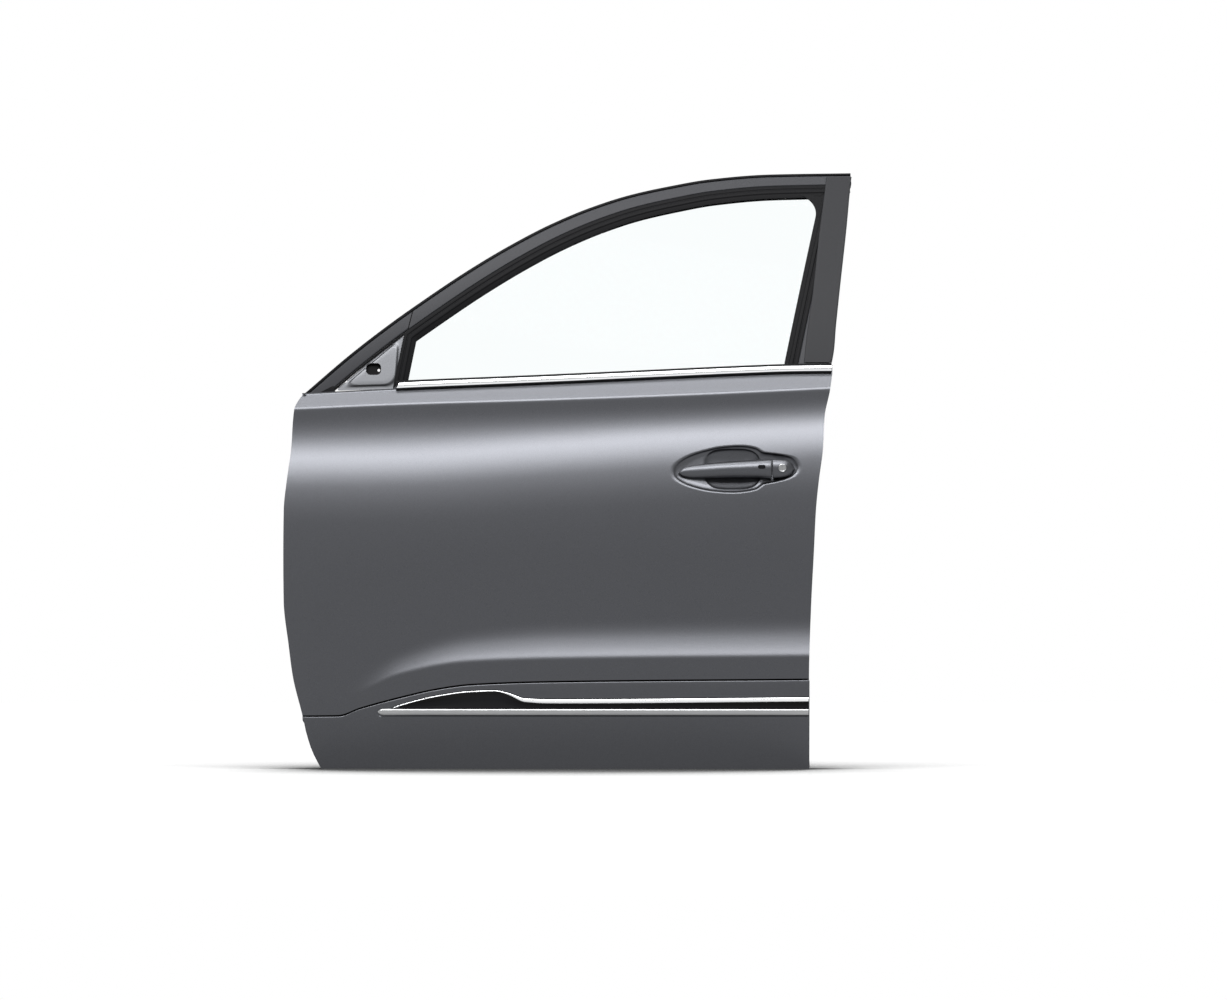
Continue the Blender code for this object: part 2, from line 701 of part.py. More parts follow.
def cut(item, cutter, kind="DIFFERENCE", solver="EXACT"):
    """Cut item by cutter, or join the two."""
    step = item.modifiers.new(kind.lower(), "BOOLEAN")
    step.operation = kind
    step.solver = solver
    step.object = cutter
    return item


def on_joint(name, location, items):
    """Parent moving pieces to an empty that stands on their joint's axis."""
    empty = bpy.data.objects.new(name, None)
    bpy.data.collections[MODEL].objects.link(empty)
    empty.location = location
    bpy.context.view_layer.update()
    for item in items:
        item.parent = empty
        item.matrix_parent_inverse = empty.matrix_world.inverted()
    return empty


def rounded_rectangle(width, height, radius, steps=4):
    """Outline of a rectangle with round corners."""
    outline = []
    for i, (sx, sy) in enumerate(((1, 1), (-1, 1), (-1, -1), (1, -1))):
        centre = (sx * (width / 2 - radius), sy * (height / 2 - radius))
        for k in range(steps + 1):
            turn = math.pi / 2 * (i + k / steps)
            outline.append((centre[0] + radius * math.cos(turn), centre[1] + radius * math.sin(turn)))
    return outline


def facing(normal, upright=(0, 0, 1)):
    """Rotation whose local z lies along normal and local y close to upright."""
    z = Vector(normal).normalized()
    x = Vector(upright).cross(z).normalized()
    return Matrix((x, z.cross(x), z)).transposed()


OUTWARD = (0, -1, 0)
INWARD = (0, 1, 0)
ROOFWARD = (-0.5, 0, 1)


def dish_reach(px, py):
    """Point of the dish's outline in the direction of each pixel point from the dish's middle."""
    cx, cy = DISH_CENTRE_PX
    half_x = (DISH_UPPER_PX[-1][0] - DISH_UPPER_PX[0][0]) / 2
    half_y = (DISH_LOWER_PX[6][1] - DISH_UPPER_PX[6][1]) / 2
    outline = list(DISH_UPPER_PX) + list(DISH_LOWER_PX[-2:0:-1])
    angle = np.array([math.atan2((y - cy) / half_y, (x - cx) / half_x) for x, y in outline])
    reach = np.array([math.hypot((x - cx) / half_x, (y - cy) / half_y) for x, y in outline])
    order = np.argsort(angle)
    at = np.arctan2((py - cy) / half_y, (px - cx) / half_x)
    r = np.interp(at, angle[order], reach[order], period=2 * math.pi)
    return cx + r * half_x * np.cos(at), cy + r * half_y * np.sin(at)


def dish_ring(px, py, share, depth):
    """Ring of world points at a share of the dish's outline, depth behind the skin."""
    cx, cy = DISH_CENTRE_PX
    ox, oy = dish_reach(px, py)
    rx, ry = cx + (ox - cx) * share, cy + (oy - cy) * share
    return points(rx, ry, side_depth(rx, ry) + depth)


SIDE_ROWS = (BELT, SHOULDER, CREASE, HOLLOW, HOLLOW + 0.5, PEAK + 0.2, PEAK + 0.6, UPPER, UPPER + 0.35,
             UPPER + 0.7, LOWER, ZERO, BACK, SCOOP, BASIN, BASIN + 0.5, LEDGE, FLAT, END)
SIDE_SHARES = (0.055, 0.10, 0.14, 0.175, 0.21, 0.25, 0.29, 0.33, 0.38, 0.43, 0.54, 0.64, 0.7057, 0.739, 0.773,
               0.806, 0.84, 0.873, 0.907, 0.94, 0.9736)
DISH_ROW_SPAN = (5, 10)
DISH_COLUMN_SPAN = (14, 22)


def px_of(length):
    """Pixels across of a length."""
    return length * (REAR_PX - FRONT_PX) / DOOR_LENGTH


def py_of(length):
    """Pixels down of a length."""
    return length * (BOTTOM_PX - TOP_PX) / DOOR_HEIGHT


def shell_cells():
    """Pixel grid of the skin: visible rows, the step behind the garnish, and the rows of the floor."""
    columns = [(0, 0), (0, HEM_WIDTH)] + [(s, 0) for s in SIDE_SHARES] + [(1, -HEM_WIDTH), (1, 0)]
    px, py = side_cells(SIDE_ROWS, columns)
    share, offset = np.array(columns, float).T
    bottom = BOTTOM_PX - py_of(OVERRUN)
    low = np.array([SILL_PX, TUCK_PX, row(FLOOR_HEIGHT - HINGE_UPPER_HEIGHT), bottom - py_of(HEM_WIDTH), bottom])
    low = np.broadcast_to(low[:, None], (len(low), len(columns))).copy()
    low[0] = np.maximum(low[0], py[-1] + GARNISH_RAMP_PX * 2)
    low_px = front_edge(low) + share * (rear_edge(low) - front_edge(low)) + px_of(offset)
    return (np.concatenate([px, px[-1:], low_px]),
            np.concatenate([py, py[-1:] + GARNISH_RAMP_PX, low]))


def border(px, py, inset):
    """Pixels of the front, bottom and rear border of a grid, moved inward by inset metres."""
    right = np.concatenate([px[:-1, 0] + px_of(inset), px[-1] + 0, px[-2::-1, -1] - px_of(inset)])
    down = np.concatenate([py[:-1, 0], py[-1] - py_of(inset), py[-2::-1, -1]])
    right[len(px) - 1] += px_of(inset)
    right[len(px) - 2 + px.shape[1]] -= px_of(inset)
    return right, down


def dish_window():
    """Grid indices around the window of the skin's grid that the dish fills."""
    r0, r1 = DISH_ROW_SPAN
    c0, c1 = DISH_COLUMN_SPAN
    return ([(r0, c) for c in range(c0, c1)] + [(r, c1) for r in range(r0, r1)]
            + [(r1, c) for c in range(c1, c0, -1)] + [(r, c0) for r in range(r1, r0, -1)])


def build_outer_panel():
    """Skin: pressed side with its dish, belt flange and folded hem."""
    px, py = shell_cells()
    skin = points(px, py, skin_depth(px, py))
    lean = np.array([0, BELT_FLANGE_STEP, BELT_FLANGE_STEP])
    flange = np.stack([skin[0], skin[0] + lean, skin[0] + lean + np.array([0, 0, BELT_FLANGE])])
    fold = np.array([0, FLANGE_BACK + SLOPE_SHARE * SKIN_T + CLEAR * 2, 0])
    bx, by = border(px, py, 0)
    ix, iy = border(px, py, HEM_WIDTH)
    edge = points(bx, by, skin_depth(bx, by))
    hem = np.stack([edge, edge + fold, points(ix, iy, skin_depth(ix, iy)) + fold])
    window = dish_window()
    wx = np.array([px[i] for i in window])
    wy = np.array([py[i] for i in window])
    middle = (DISH_WALL_SHARE + DISH_FLOOR_SHARE) / 2
    rings = np.stack([np.array([skin[i] for i in window]), dish_ring(wx, wy, DISH_LIP_SHARE, 0),
                      dish_ring(wx, wy, 1, 0), dish_ring(wx, wy, DISH_WALL_SHARE, DISH_WALL),
                      dish_ring(wx, wy, middle, (DISH_WALL + 2 * DISH_DEPTH) / 3),
                      dish_ring(wx, wy, DISH_FLOOR_SHARE, DISH_DEPTH), dish_ring(wx, wy, 0, DISH_DEPTH)])
    (r0, r1), (c0, c1) = DISH_ROW_SPAN, DISH_COLUMN_SPAN
    panel = sheet("outer_panel", [{"grid": skin, "skip": lambda i, j: r0 <= i < r1 and c0 <= j < c1},
                                  flange, hem, {"grid": rings, "ring": True}], SKIN_T, PAINT, OUTWARD)
    leg_hole = (LEG_HOLE, KEY_DEPTH * 4, LEG_HOLE)
    holes = [box("front_leg_hole", leg_hole, skin_place(GRIP_FRONT_LEG_PX, GRIP_PIVOT_PX[1], 0), collection=CUTTERS),
             box("rear_leg_hole", leg_hole, skin_place(GRIP_LEG_PX, GRIP_PIVOT_PX[1], 0), collection=CUTTERS),
             disc("key_hole", KEY_HOLE_R + KEY_WALL * 2 + CLEAR, KEY_DEPTH * 4, skin_place(*KEY_PX, 0),
                  collection=CUTTERS, rotation=facing(OUTWARD))]
    for hole in holes:
        cut(panel, hole, solver="MANIFOLD")
    return panel


def inner_face_depth(px, py):
    """Depth of the inner panel's face: level below, leaning with the glass towards the belt."""
    belt = smooth(px, BELT_PX)
    blend = np.clip((py - belt) / BELT_BLEND_PX, 0, 1)
    glass = DRUM.world_y(across(px), up(py)) + HINGE_DEPTH + INNER_BELT_GAP
    return glass + (INNER_FACE_DEPTH - glass) * blend


def wall_front_px(py):
    """Pixel column of the front wall: level at the hinges, drawn back where the edge turns in."""
    return np.maximum(column(0), front_edge(py) + px_of(WALL_FRONT_MIN))


def wall_rear_px(py):
    """Pixel column of the rear wall."""
    return rear_edge(py) - px_of(WALL_REAR_INSET)


def build_inner_panel():
    """Inner panel: pan with hemmed flange, walls, floor and openings."""
    px, py = shell_cells()
    rows = list(range(len(px) - 2)) + [len(px) - 3, len(px) - 2, len(px) - 1]
    row_ring = [5] * (len(px) - 4) + [4, 3, 2, 1, 0]
    rows[len(px) - 4] = len(px) - 4
    fx, fy = px[rows], py[rows]
    edge_gap = SLOPE_SHARE * SKIN_T + CLEAR
    front, rear = wall_front_px(fy[:, 0]), wall_rear_px(fy[:, -1])
    radius = px_of(WALL_RADIUS)
    shares = np.array(INNER_SHARES)[None]
    face = (front + radius)[:, None] * (1 - shares) + (rear - radius)[:, None] * shares
    corner = np.where(np.arange(len(fx)) < 2, CORNER_SHARE, 1)[:, None]
    cols = np.concatenate([fx[:, :1] + px_of(edge_gap) * corner, fx[:, 1:2], front[:, None], front[:, None],
                           (front + radius)[:, None], face, (rear - radius)[:, None], rear[:, None], rear[:, None],
                           fx[:, -2:-1], fx[:, -1:] - px_of(edge_gap)], axis=1)
    col_ring = [0, 1, 2, 3, 4] + [5] * len(INNER_SHARES) + [4, 3, 2, 1, 0]
    t = (cols - fx[:, 1:2]) / (fx[:, -2:-1] - fx[:, 1:2])
    downs = fy[:, 1:2] * (1 - t) + fy[:, -2:-1] * t
    downs[:, 0], downs[:, -1] = fy[:, 0], fy[:, -1]
    downs[-1] -= py_of(edge_gap)
    ring = np.minimum(np.array(row_ring)[:, None], np.array(col_ring)[None])
    skin = skin_depth(cols, downs)
    depth = np.where(ring <= 1, skin + FLANGE_BACK, np.where(ring == 2, skin + FOOT_STEP, 0))
    depth = np.where(ring >= 4, inner_face_depth(cols, downs), depth)
    depth = np.where(ring == 3, inner_face_depth(cols, downs) - WALL_RADIUS, depth)
    panel = sheet("inner_panel", [points(cols, downs, depth)], INNER_T, PRIMER, INWARD)
    through = facing(OUTWARD)
    face = INNER_FACE_DEPTH
    for name, spot, size, radius in (("access_hole", ACCESS_PX, ACCESS_SIZE, ACCESS_RADIUS),
                                     ("service_hole", SERVICE_PX, SERVICE_SIZE, SERVICE_RADIUS)):
        cut(panel, outline_solid(name, rounded_rectangle(*size, radius), OVERRUN * 4, points(*spot, face),
                                 rotation=through, collection=CUTTERS))
    rise = SPEAKER_SEAT_RISE
    cut(panel, disc("speaker_seat", SPEAKER_SEAT_R, rise + INNER_T / 2,
                    points(*SPEAKER_PX, face + rise / 2 - INNER_T / 4), rotation=through, collection=CUTTERS,
                    sides=32), "UNION")
    cut(panel, disc("speaker_seat_back", SPEAKER_SEAT_R - INNER_T, rise + OVERRUN,
                    points(*SPEAKER_PX, face - INNER_T + (rise - OVERRUN) / 2), rotation=through,
                    collection=CUTTERS, sides=32))
    cut(panel, disc("speaker_hole", SPEAKER_R, OVERRUN * 4, points(*SPEAKER_PX, face), rotation=through,
                    collection=CUTTERS, sides=32))
    for name, spot in (("upper", 0), ("lower", HINGE_LOWER_HEIGHT - HINGE_UPPER_HEIGHT)):
        for side in (-1, 1):
            bolt = (0, 0, spot + side * HINGE_PITCH / 2)
            cut(panel, disc(f"hinge_bolt_hole_{name}", BOLT_HOLE_R, OVERRUN * 4, bolt, rotation=facing((1, 0, 0)),
                            collection=CUTTERS, sides=12))
    cut(panel, box("check_slot", (OVERRUN * 4, CHECK_SLOT[0], CHECK_SLOT[1]), (0, 0, CHECK_HEIGHT),
                   collection=CUTTERS))
    slot = latch_place((0, FISHMOUTH[1] / 2 - OVERRUN * 2, 0))
    cut(panel, box("fishmouth_cut", (FISHMOUTH[0], FISHMOUTH[1] + OVERRUN * 4, FISHMOUTH[2] + OVERRUN), slot,
                   rotation=latch_turn(), collection=CUTTERS))
    for i, spot in enumerate(latch_screws()):
        cut(panel, disc(f"latch_screw_hole_{i}", SCREW_R / 2 + CLEAR, OVERRUN * 4, latch_place((0, *spot)),
                        rotation=latch_turn() @ facing((1, 0, 0)), collection=CUTTERS, sides=12))
    return panel


def latch_turn():
    """Rotation of the latch's frame: its z runs up along the rear wall."""
    low, high = side_wall_point(ZERO), side_wall_point(LOWER)
    lean = math.atan2(high[0] - low[0], high[2] - low[2])
    return Matrix.Rotation(lean, 3, "Y")


def side_wall_point(line):
    """World point on the rear wall at the row of a feature line, at the latch's depth."""
    px, py = side_cells((line,), [(1, 0)])
    return points(wall_rear_px(py[0, 0]), py[0, 0], LATCH_DEPTH)


def latch_place(spot):
    """World point of a place in the latch's frame, whose origin lies on the rear wall's outer face."""
    origin = Vector((side_wall_point(ZERO) + side_wall_point(LOWER)) / 2)
    return origin + latch_turn() @ Vector(spot)


def latch_screws():
    """Screw places across the latch plate, as (y, z) in the latch's frame."""
    half = LATCH_CASE[1] / 2 - SCREW_R * 1.6
    high = LATCH_CASE[2] / 2 - SCREW_R * 1.6
    return ((-half, high), (-half, -high), (half, -high))


def roof_path(px):
    """Places of the roof line on the drum, and the directions from it towards the glass."""
    px = np.asarray(px, float)
    along, around = DRUM.at_pixel(px, smooth(px, ROOF_PX), FACE_OUT)
    ahead = DRUM.at_pixel(px + 1, smooth(px + 1, ROOF_PX), FACE_OUT)
    behind = DRUM.at_pixel(px - 1, smooth(px - 1, ROOF_PX), FACE_OUT)
    run = np.stack([ahead[0] - behind[0], ahead[1] - behind[1]], axis=-1)
    run /= np.linalg.norm(run, axis=-1, keepdims=True)
    return np.stack([along, around], axis=-1), np.stack([run[..., 1], -run[..., 0]], axis=-1)


def glass_distance(px):
    """Distance from the roof line to the edge of the glass."""
    return ROOF_LIP + smooth(px, HEADER_FACE) + RUN_COVER + CLEAR * 2


def glass_top(along):
    """Height on the drum of the glass's top edge at places along its axis."""
    px = np.linspace(SEAM_PX - 30, REAR_PX, 60)
    roof, toward = roof_path(px)
    edge = roof + toward * glass_distance(px)[:, None]
    return np.interp(along, edge[:, 0], edge[:, 1])


def belt_around(along):
    """Height on the drum of the belt line at places along its axis."""
    px = np.linspace(300, 832, 12)
    places = DRUM.at_pixel(px, smooth(px, BELT_PX))
    return np.interp(along, *places)


def glass_bottom(along):
    """Height on the drum of the glass's bottom edge."""
    return belt_around(along) - GLASS_BELOW_BELT


HEADER_STATIONS = np.concatenate([np.linspace(SEAM_PX + 0.3, 640, 10), np.linspace(675, 851.5, 7)])
SASH_STATIONS = np.linspace(309, SEAM_PX - 0.3, 6)


def rail_sheet(name, px, section, kind):
    """Rolled rail that follows the roof line; section is (across, out) columns for each pixel."""
    roof, toward = roof_path(px)
    grid = []
    for place, direction, columns in zip(roof, toward, section):
        cols = np.array(columns, float)
        spots = place + direction * cols[:, :1]
        grid.append(DRUM.place(spots[:, 0], spots[:, 1], cols[:, 1]))
    return sheet(name, [np.array(grid)], FRAME_T, kind, ROOFWARD)


def build_header_frame():
    """Roof rail of the window frame: rolled box with a pocket for the glass run."""
    px = HEADER_STATIONS
    roof, toward = roof_path(px)
    section = []
    for place, direction, edge in zip(roof, toward, glass_distance(px)):
        pocket = edge - RUN_ROOT - CLEAR * 2
        lip = edge + POCKET_LIP
        face = edge - RUN_COVER - CLEAR
        if place[0] + direction[0] * lip > GLASS_REAR_EDGE - POCKET_LIP:
            pocket = lip = face - RAIL_CORNER
        columns = ((lip, -RUN_BACK - FRAME_T), (pocket, -RUN_BACK - FRAME_T),
                   (pocket, RUN_COVER_OUT - SEAL_T - CLEAR * 2), (face, RUN_COVER_OUT - SEAL_T - CLEAR * 2),
                   (face - RAIL_CORNER / 2, FACE_OUT), (ROOF_LIP + RAIL_CORNER, FACE_OUT),
                   (ROOF_LIP, FACE_OUT - RAIL_CORNER), (ROOF_LIP, -RAIL_DEPTH + RAIL_CORNER),
                   (ROOF_LIP + RAIL_CORNER, -RAIL_DEPTH), (face, -RAIL_DEPTH))
        section.append(columns)
    return rail_sheet("header_frame", px, section, FRAME_PAINT)


def build_front_sash():
    """Lower front end of the window frame, ahead of the seam."""
    px = SASH_STATIONS
    section = []
    for face in smooth(px, HEADER_FACE):
        far = ROOF_LIP + face - CLEAR * 3
        section.append(((far, -RUN_BACK), (far, FACE_OUT - RAIL_CORNER), (far - RAIL_CORNER, FACE_OUT),
                        (ROOF_LIP + RAIL_CORNER, FACE_OUT), (ROOF_LIP, FACE_OUT - RAIL_CORNER),
                        (ROOF_LIP, -RAIL_DEPTH + RAIL_CORNER), (ROOF_LIP + RAIL_CORNER, -RAIL_DEPTH),
                        (far, -RAIL_DEPTH)))
    sash = rail_sheet("front_sash", px, section, PAINT)
    middle = points((px[0] + px[-1]) / 2, SASH_FOOT_PX, GLASS_BELT_DEPTH) - np.array([0, 0, RAIL_LENGTH / 2])
    return cut(sash, box("sash_foot", (RAIL_LENGTH, RAIL_LENGTH, RAIL_LENGTH), middle, collection=CUTTERS))


def build_header_lip_seal():
    """Rubber lip along the roof edge."""
    px = np.concatenate([SASH_STATIONS, HEADER_STATIONS])
    roof, toward = roof_path(px)
    loop = np.array(((0, FACE_OUT), (ROOF_LIP - CLEAR, FACE_OUT + SEAL_T / 2), (ROOF_LIP - CLEAR, -RAIL_DEPTH / 2),
                     (ROOF_LIP / 2, -RAIL_DEPTH / 2), (ROOF_LIP / 2, 0)))
    loops = [DRUM.place(*(place + direction * loop[:, :1]).T, loop[:, 1])
             for place, direction in zip(roof, toward)]
    return loft("header_lip_seal", np.array(loops), RUBBER)


def glass_outline_path(below):
    """Places up the front edge of the glass, along its top and down its rear edge."""
    front, rear = -GLASS_FRONT_EDGE, GLASS_REAR_EDGE
    top = np.linspace(front, rear, 20)
    low_front, low_rear = belt_around(front) - below, belt_around(rear) - below
    legs = np.linspace(0, 1, 14)[:-1]
    up_front = [(front, low_front + (glass_top(front) - low_front) * t) for t in legs]
    along_top = [(s, glass_top(s)) for s in top]
    down_rear = [(rear, low_rear + (glass_top(rear) - low_rear) * t) for t in legs[::-1]]
    return np.array(up_front + along_top + down_rear)


def mitred(path):
    """Outward offset directions along a path of drum places, long enough at its corners."""
    run = np.diff(path, axis=0)
    run /= np.linalg.norm(run, axis=1, keepdims=True)
    normal = np.stack([-run[:, 1], run[:, 0]], axis=1)
    before = np.concatenate([normal[:1], normal])
    after = np.concatenate([normal, normal[-1:]])
    mean = before + after
    return mean * 2 / np.sum(mean * mean, axis=1, keepdims=True)


def build_glass_run():
    """Rubber channel around the front, top and rear edge of the glass, with its cover lip."""
    path = glass_outline_path(RUN_BELOW_BELT)
    grip = GLASS_T / 2 + GRIP_GAP
    floor = RUN_ROOT - RUN_WALL
    cover = RUN_COVER_OUT - SEAL_T
    inside = grip + SEAL_T / 2
    loop = np.array(((-RUN_GRIP, grip), (-RUN_GRIP, grip + SEAL_T), (0, RUN_COVER_OUT),
                     (RUN_COVER, RUN_COVER_OUT), (RUN_COVER, cover), (RUN_ROOT, cover), (RUN_ROOT, -RUN_BACK),
                     (-RUN_GRIP, -grip - SEAL_T), (-RUN_GRIP, -grip), (floor, -inside), (floor, inside)))
    loops = [DRUM.place(*(place + direction * loop[:, :1]).T, loop[:, 1])
             for place, direction in zip(path, mitred(path))]
    return loft("glass_run_seal", np.array(loops), RUBBER)


def guide_channel(name, along, side, top, bottom):
    """Steel channel behind the glass run on one upright edge; side is -1 in front, 1 at the rear."""
    around = np.linspace(top, bottom, math.ceil((top - bottom) / ARC_STEP) + 1)
    far = along + side * (RUN_ROOT + CLEAR * 2)
    near = along - side * RUN_GRIP / 2
    back = -RUN_BACK - CLEAR * 2
    section = ((near, back), (far, back), (far, RUN_COVER_OUT - SEAL_T - CLEAR * 2 - FRAME_T))
    grid = [[DRUM.place(s, w, out) for s, out in section] for w in around]
    outward = DRUM.axis * side
    return sheet(name, [np.array(grid)], FRAME_T, FRAME_PAINT, outward, offset=1)


def build_window_glass():
    """Toughened pane cut from the drum."""
    along = np.linspace(-GLASS_FRONT_EDGE, GLASS_REAR_EDGE, 13)
    rise = np.linspace(0, 1, 12)[:, None]
    low, high = glass_bottom(along), glass_top(along)
    around = low + (high - low) * rise
    pane = sheet("window_glass", [DRUM.place(along + 0 * around, around, GLASS_T / 2)], GLASS_T, GLASS, OUTWARD)
    return pane


def pillar_lines(py):
    """Places of the pillar's front and rear line on the drum."""
    front = DRUM.at_pixel(smooth(py, PILLAR_FRONT_PX), py, FACE_OUT)
    rear = DRUM.at_pixel(smooth(py, PILLAR_REAR_PX), py, FACE_OUT)
    return front, rear


def build_pillar_frame():
    """Rear upright of the window frame: rolled box that runs down into the door."""
    start = GLASS_REAR_EDGE + RUN_COVER + CLEAR * 2
    grid = []
    for py in (199, 228, 260, 290, 324, 345, 360, 374, 395, 420):
        front, rear = pillar_lines(py)
        w = float(rear[1])
        end = float(rear[0]) - CLEAR * 3
        columns = ((start - RUN_COVER / 2, -RUN_BACK - FRAME_T), (start, -RUN_BACK - FRAME_T),
                   (start, FACE_OUT - RAIL_CORNER), (start + RAIL_CORNER, FACE_OUT), (end - RAIL_CORNER, FACE_OUT),
                   (end, FACE_OUT - RAIL_CORNER), (end, -RAIL_DEPTH + RAIL_CORNER),
                   (end - RAIL_CORNER, -RAIL_DEPTH), (start + RAIL_CORNER, -RAIL_DEPTH))
        grid.append([DRUM.place(s, w, out) for s, out in columns])
    return sheet("b_pillar_frame", [np.array(grid)], FRAME_T, FRAME_PAINT, OUTWARD)


def build_pillar_applique():
    """Satin cover plate over the rear upright."""
    py = np.linspace(*APPLIQUE_PX, 10)[:, None]
    share = np.array((0, 0.04, 0.5, 0.96, 1))[None]
    px = smooth(py, PILLAR_FRONT_PX) * (1 - share) + smooth(py, PILLAR_REAR_PX) * share
    edge = (share < 0.01) | (share > 0.99)
    out = FACE_OUT + CLEAR * 2 + APPLIQUE_T - edge * APPLIQUE_T / 2
    grid = np.stack([across(px), DRUM.world_y(across(px), up(py), out), up(py) + 0 * px], axis=-1)
    return sheet("b_pillar_applique", [grid], APPLIQUE_T / 2, SATIN_GREY, OUTWARD)


def sail_plane():
    """Middle and axes of the flat sail plate: across, up its slope, and out."""
    corners = [np.array([float(across(px)), float(DRUM.world_y(across(px), up(py), SAIL_OUT)), float(up(py))])
               for px, py in SAIL_PX]
    middle = sum(corners) / 3
    out = np.cross(corners[1] - corners[0], corners[2] - corners[0])
    out = out / np.linalg.norm(out) * (-1 if out[1] > 0 else 1)
    return middle, out


def sail_point(px, py, out=0.0):
    """World point of a pixel on the sail plate's plane, moved out from it."""
    middle, normal = sail_plane()
    x, z = float(across(px)), float(up(py))
    y = middle[1] - (normal[0] * (x - middle[0]) + normal[2] * (z - middle[2])) / normal[1]
    return np.array([x, y, z]) + normal * out


def build_sail_plate():
    """Pressed triangular plate with a raised field, a slot and two fixing holes."""
    corners = np.array(SAIL_PX)
    outline = []
    for i in range(3):
        here, after = corners[i], corners[(i + 1) % 3]
        before = corners[i - 1]
        near, corner, half = SAIL_CORNER_SHARES
        outline += [here + (before - here) * near, here + (before + after - here * 2) * corner,
                    here + (after - here) * near, here + (after - here) * half]
    outline = np.array(outline)
    heart = corners.mean(axis=0)
    rings = []
    for share, rise in zip(SAIL_BORDER_SHARES, (0, 0, SAIL_EMBOSS, SAIL_EMBOSS)):
        rings.append([sail_point(*(heart + (p - heart) * share), rise) for p in outline])
    plate = sheet("mirror_sail_plate", [{"grid": np.array(rings), "ring": True}], SAIL_T, PRIMER, OUTWARD)
    turn = facing(sail_plane()[1])
    cut(plate, outline_solid("sail_slot", rounded_rectangle(*SAIL_SLOT, SAIL_SLOT_RADIUS), OVERRUN * 4,
                             sail_point(*SAIL_SLOT_PX), rotation=turn, collection=CUTTERS))
    for i, spot in enumerate(SAIL_HOLES_PX):
        cut(plate, disc(f"sail_hole_{i}", SAIL_HOLE_R, OVERRUN * 4, sail_point(*spot), rotation=turn,
                        collection=CUTTERS, sides=12))
    return plate


def belt_frame(px):
    """The skin's depth at the belt line and the line's world height."""
    py = smooth(px, BELT_PX)
    return float(skin_depth(px, py)), float(up(py))


def build_belt_chrome():
    """Bright strip along the belt."""
    loops = []
    for px in BELT_STATIONS_PX:
        depth, z = belt_frame(px)
        face = depth - BELT_SEAL_LEG - CLEAR
        rise = CHROME_HIGH - CHROME_LOW
        loops.append([(float(across(px)), face - out * CHROME_OUT - HINGE_DEPTH, z + CHROME_LOW + high * rise)
                      for high, out in CHROME_SECTION_SHARES])
    return loft("belt_chrome", np.array(loops), CHROME)


def build_belt_seal_outer():
    """Rubber that clips over the skin's belt flange and wipes the glass."""
    loops = []
    for px in BELT_STATIONS_PX:
        depth, z = belt_frame(px)
        free = BELT_FREE_PX[0] <= px <= BELT_FREE_PX[1]
        reach = GLASS_T / 2 + GRIP_GAP if free else RUN_COVER_OUT + CLEAR * 3
        wipe = [float(DRUM.world_y(across(px), z + h, reach)) + HINGE_DEPTH for h in (BELT_TOP, BELT_TOP - SEAL_T)]
        flange = depth + BELT_FLANGE_STEP
        top = BELT_FLANGE + BELT_FLANGE_STEP + CLEAR
        inner = flange + SKIN_T + CLEAR
        low = BELT_FLANGE_STEP * 2
        loop = [(BELT_SEAL_LEG * 2, depth - BELT_SEAL_LEG), (BELT_TOP - SEAL_T, depth - BELT_SEAL_LEG),
                (BELT_TOP, depth + BELT_SEAL_LEG), (BELT_TOP, wipe[0]), (BELT_TOP - SEAL_T, wipe[1]),
                (top - SEAL_T, inner + SEAL_T), (low, inner + SEAL_T), (low, inner), (top, inner),
                (top, flange - CLEAR), (BELT_FLANGE_STEP + CLEAR * 2, flange - CLEAR * 2),
                (BELT_SEAL_LEG * 2, depth + CLEAR * 2)]
        loops.append([(float(across(px)), d - HINGE_DEPTH, z + h) for h, d in loop])
    return loft("belt_seal_outer", np.array(loops), RUBBER)


def build_belt_reinforcement_inner():
    """Hat-shaped bar along the inner belt, between the panel and the window frame's feet."""
    foot = INNER_BELT_GAP - INNER_T - REINFORCEMENT_T - CLEAR * 4
    crest = RAIL_DEPTH + CLEAR * 2
    grid = []
    for px in HAT_PX:
        depth, z = belt_frame(px)
        columns = zip(HAT_FOOT, (foot, foot, crest, crest, foot))
        grid.append([(float(across(px)), float(DRUM.world_y(across(px), z - h, -d)), z - h) for h, d in columns])
    return sheet("belt_reinforcement_inner", [np.array(grid)], REINFORCEMENT_T, PRIMER, OUTWARD)


def build_belt_seal_inner():
    """Inner rubber that wipes the inboard side of the glass."""
    loops = []
    grip = GLASS_T / 2 + GRIP_GAP + CLEAR
    back = RAIL_DEPTH
    front = back - INNER_SEAL_BACK
    bend = INNER_SEAL_HIGH - INNER_SEAL_BACK
    loop = ((INNER_SEAL_HIGH, grip), (INNER_SEAL_HIGH, back), (-INNER_SEAL_LOW, back), (-INNER_SEAL_LOW, front),
            (bend, front), (bend, grip + INNER_SEAL_BACK), (-INNER_SEAL_LOW / 2, grip + SEAL_T / 2),
            (-INNER_SEAL_LOW / 2, grip))
    for px in [INNER_SEAL_PX[0]] + [s for s in BELT_STATIONS_PX if INNER_SEAL_PX[0] < s < INNER_SEAL_PX[1]] \
            + [INNER_SEAL_PX[1]]:
        depth, z = belt_frame(px)
        loops.append([(float(across(px)), float(DRUM.world_y(across(px), z + h, -d)), z + h) for h, d in loop])
    return loft("belt_seal_inner", np.array(loops), RUBBER)


def build_belt_reinforcement_outer():
    """Bent bar behind the skin's shoulder."""
    grid = []
    for px in RIB_PX:
        crease = smooth(px, CREASE_PX) + CREASE_ROLL_PX
        rows = crease + np.array(RIB_ROWS_PX)
        skin = skin_depth(px, rows) + SKIN_T * SLOPE_SHARE + CLEAR
        depth = skin + np.array((RIB_DEPTH, RIB_DEPTH, 0, 0))
        grid.append(points(px, rows, depth))
    return sheet("belt_reinforcement_outer", [np.array(grid)], REINFORCEMENT_T, PRIMER, OUTWARD)


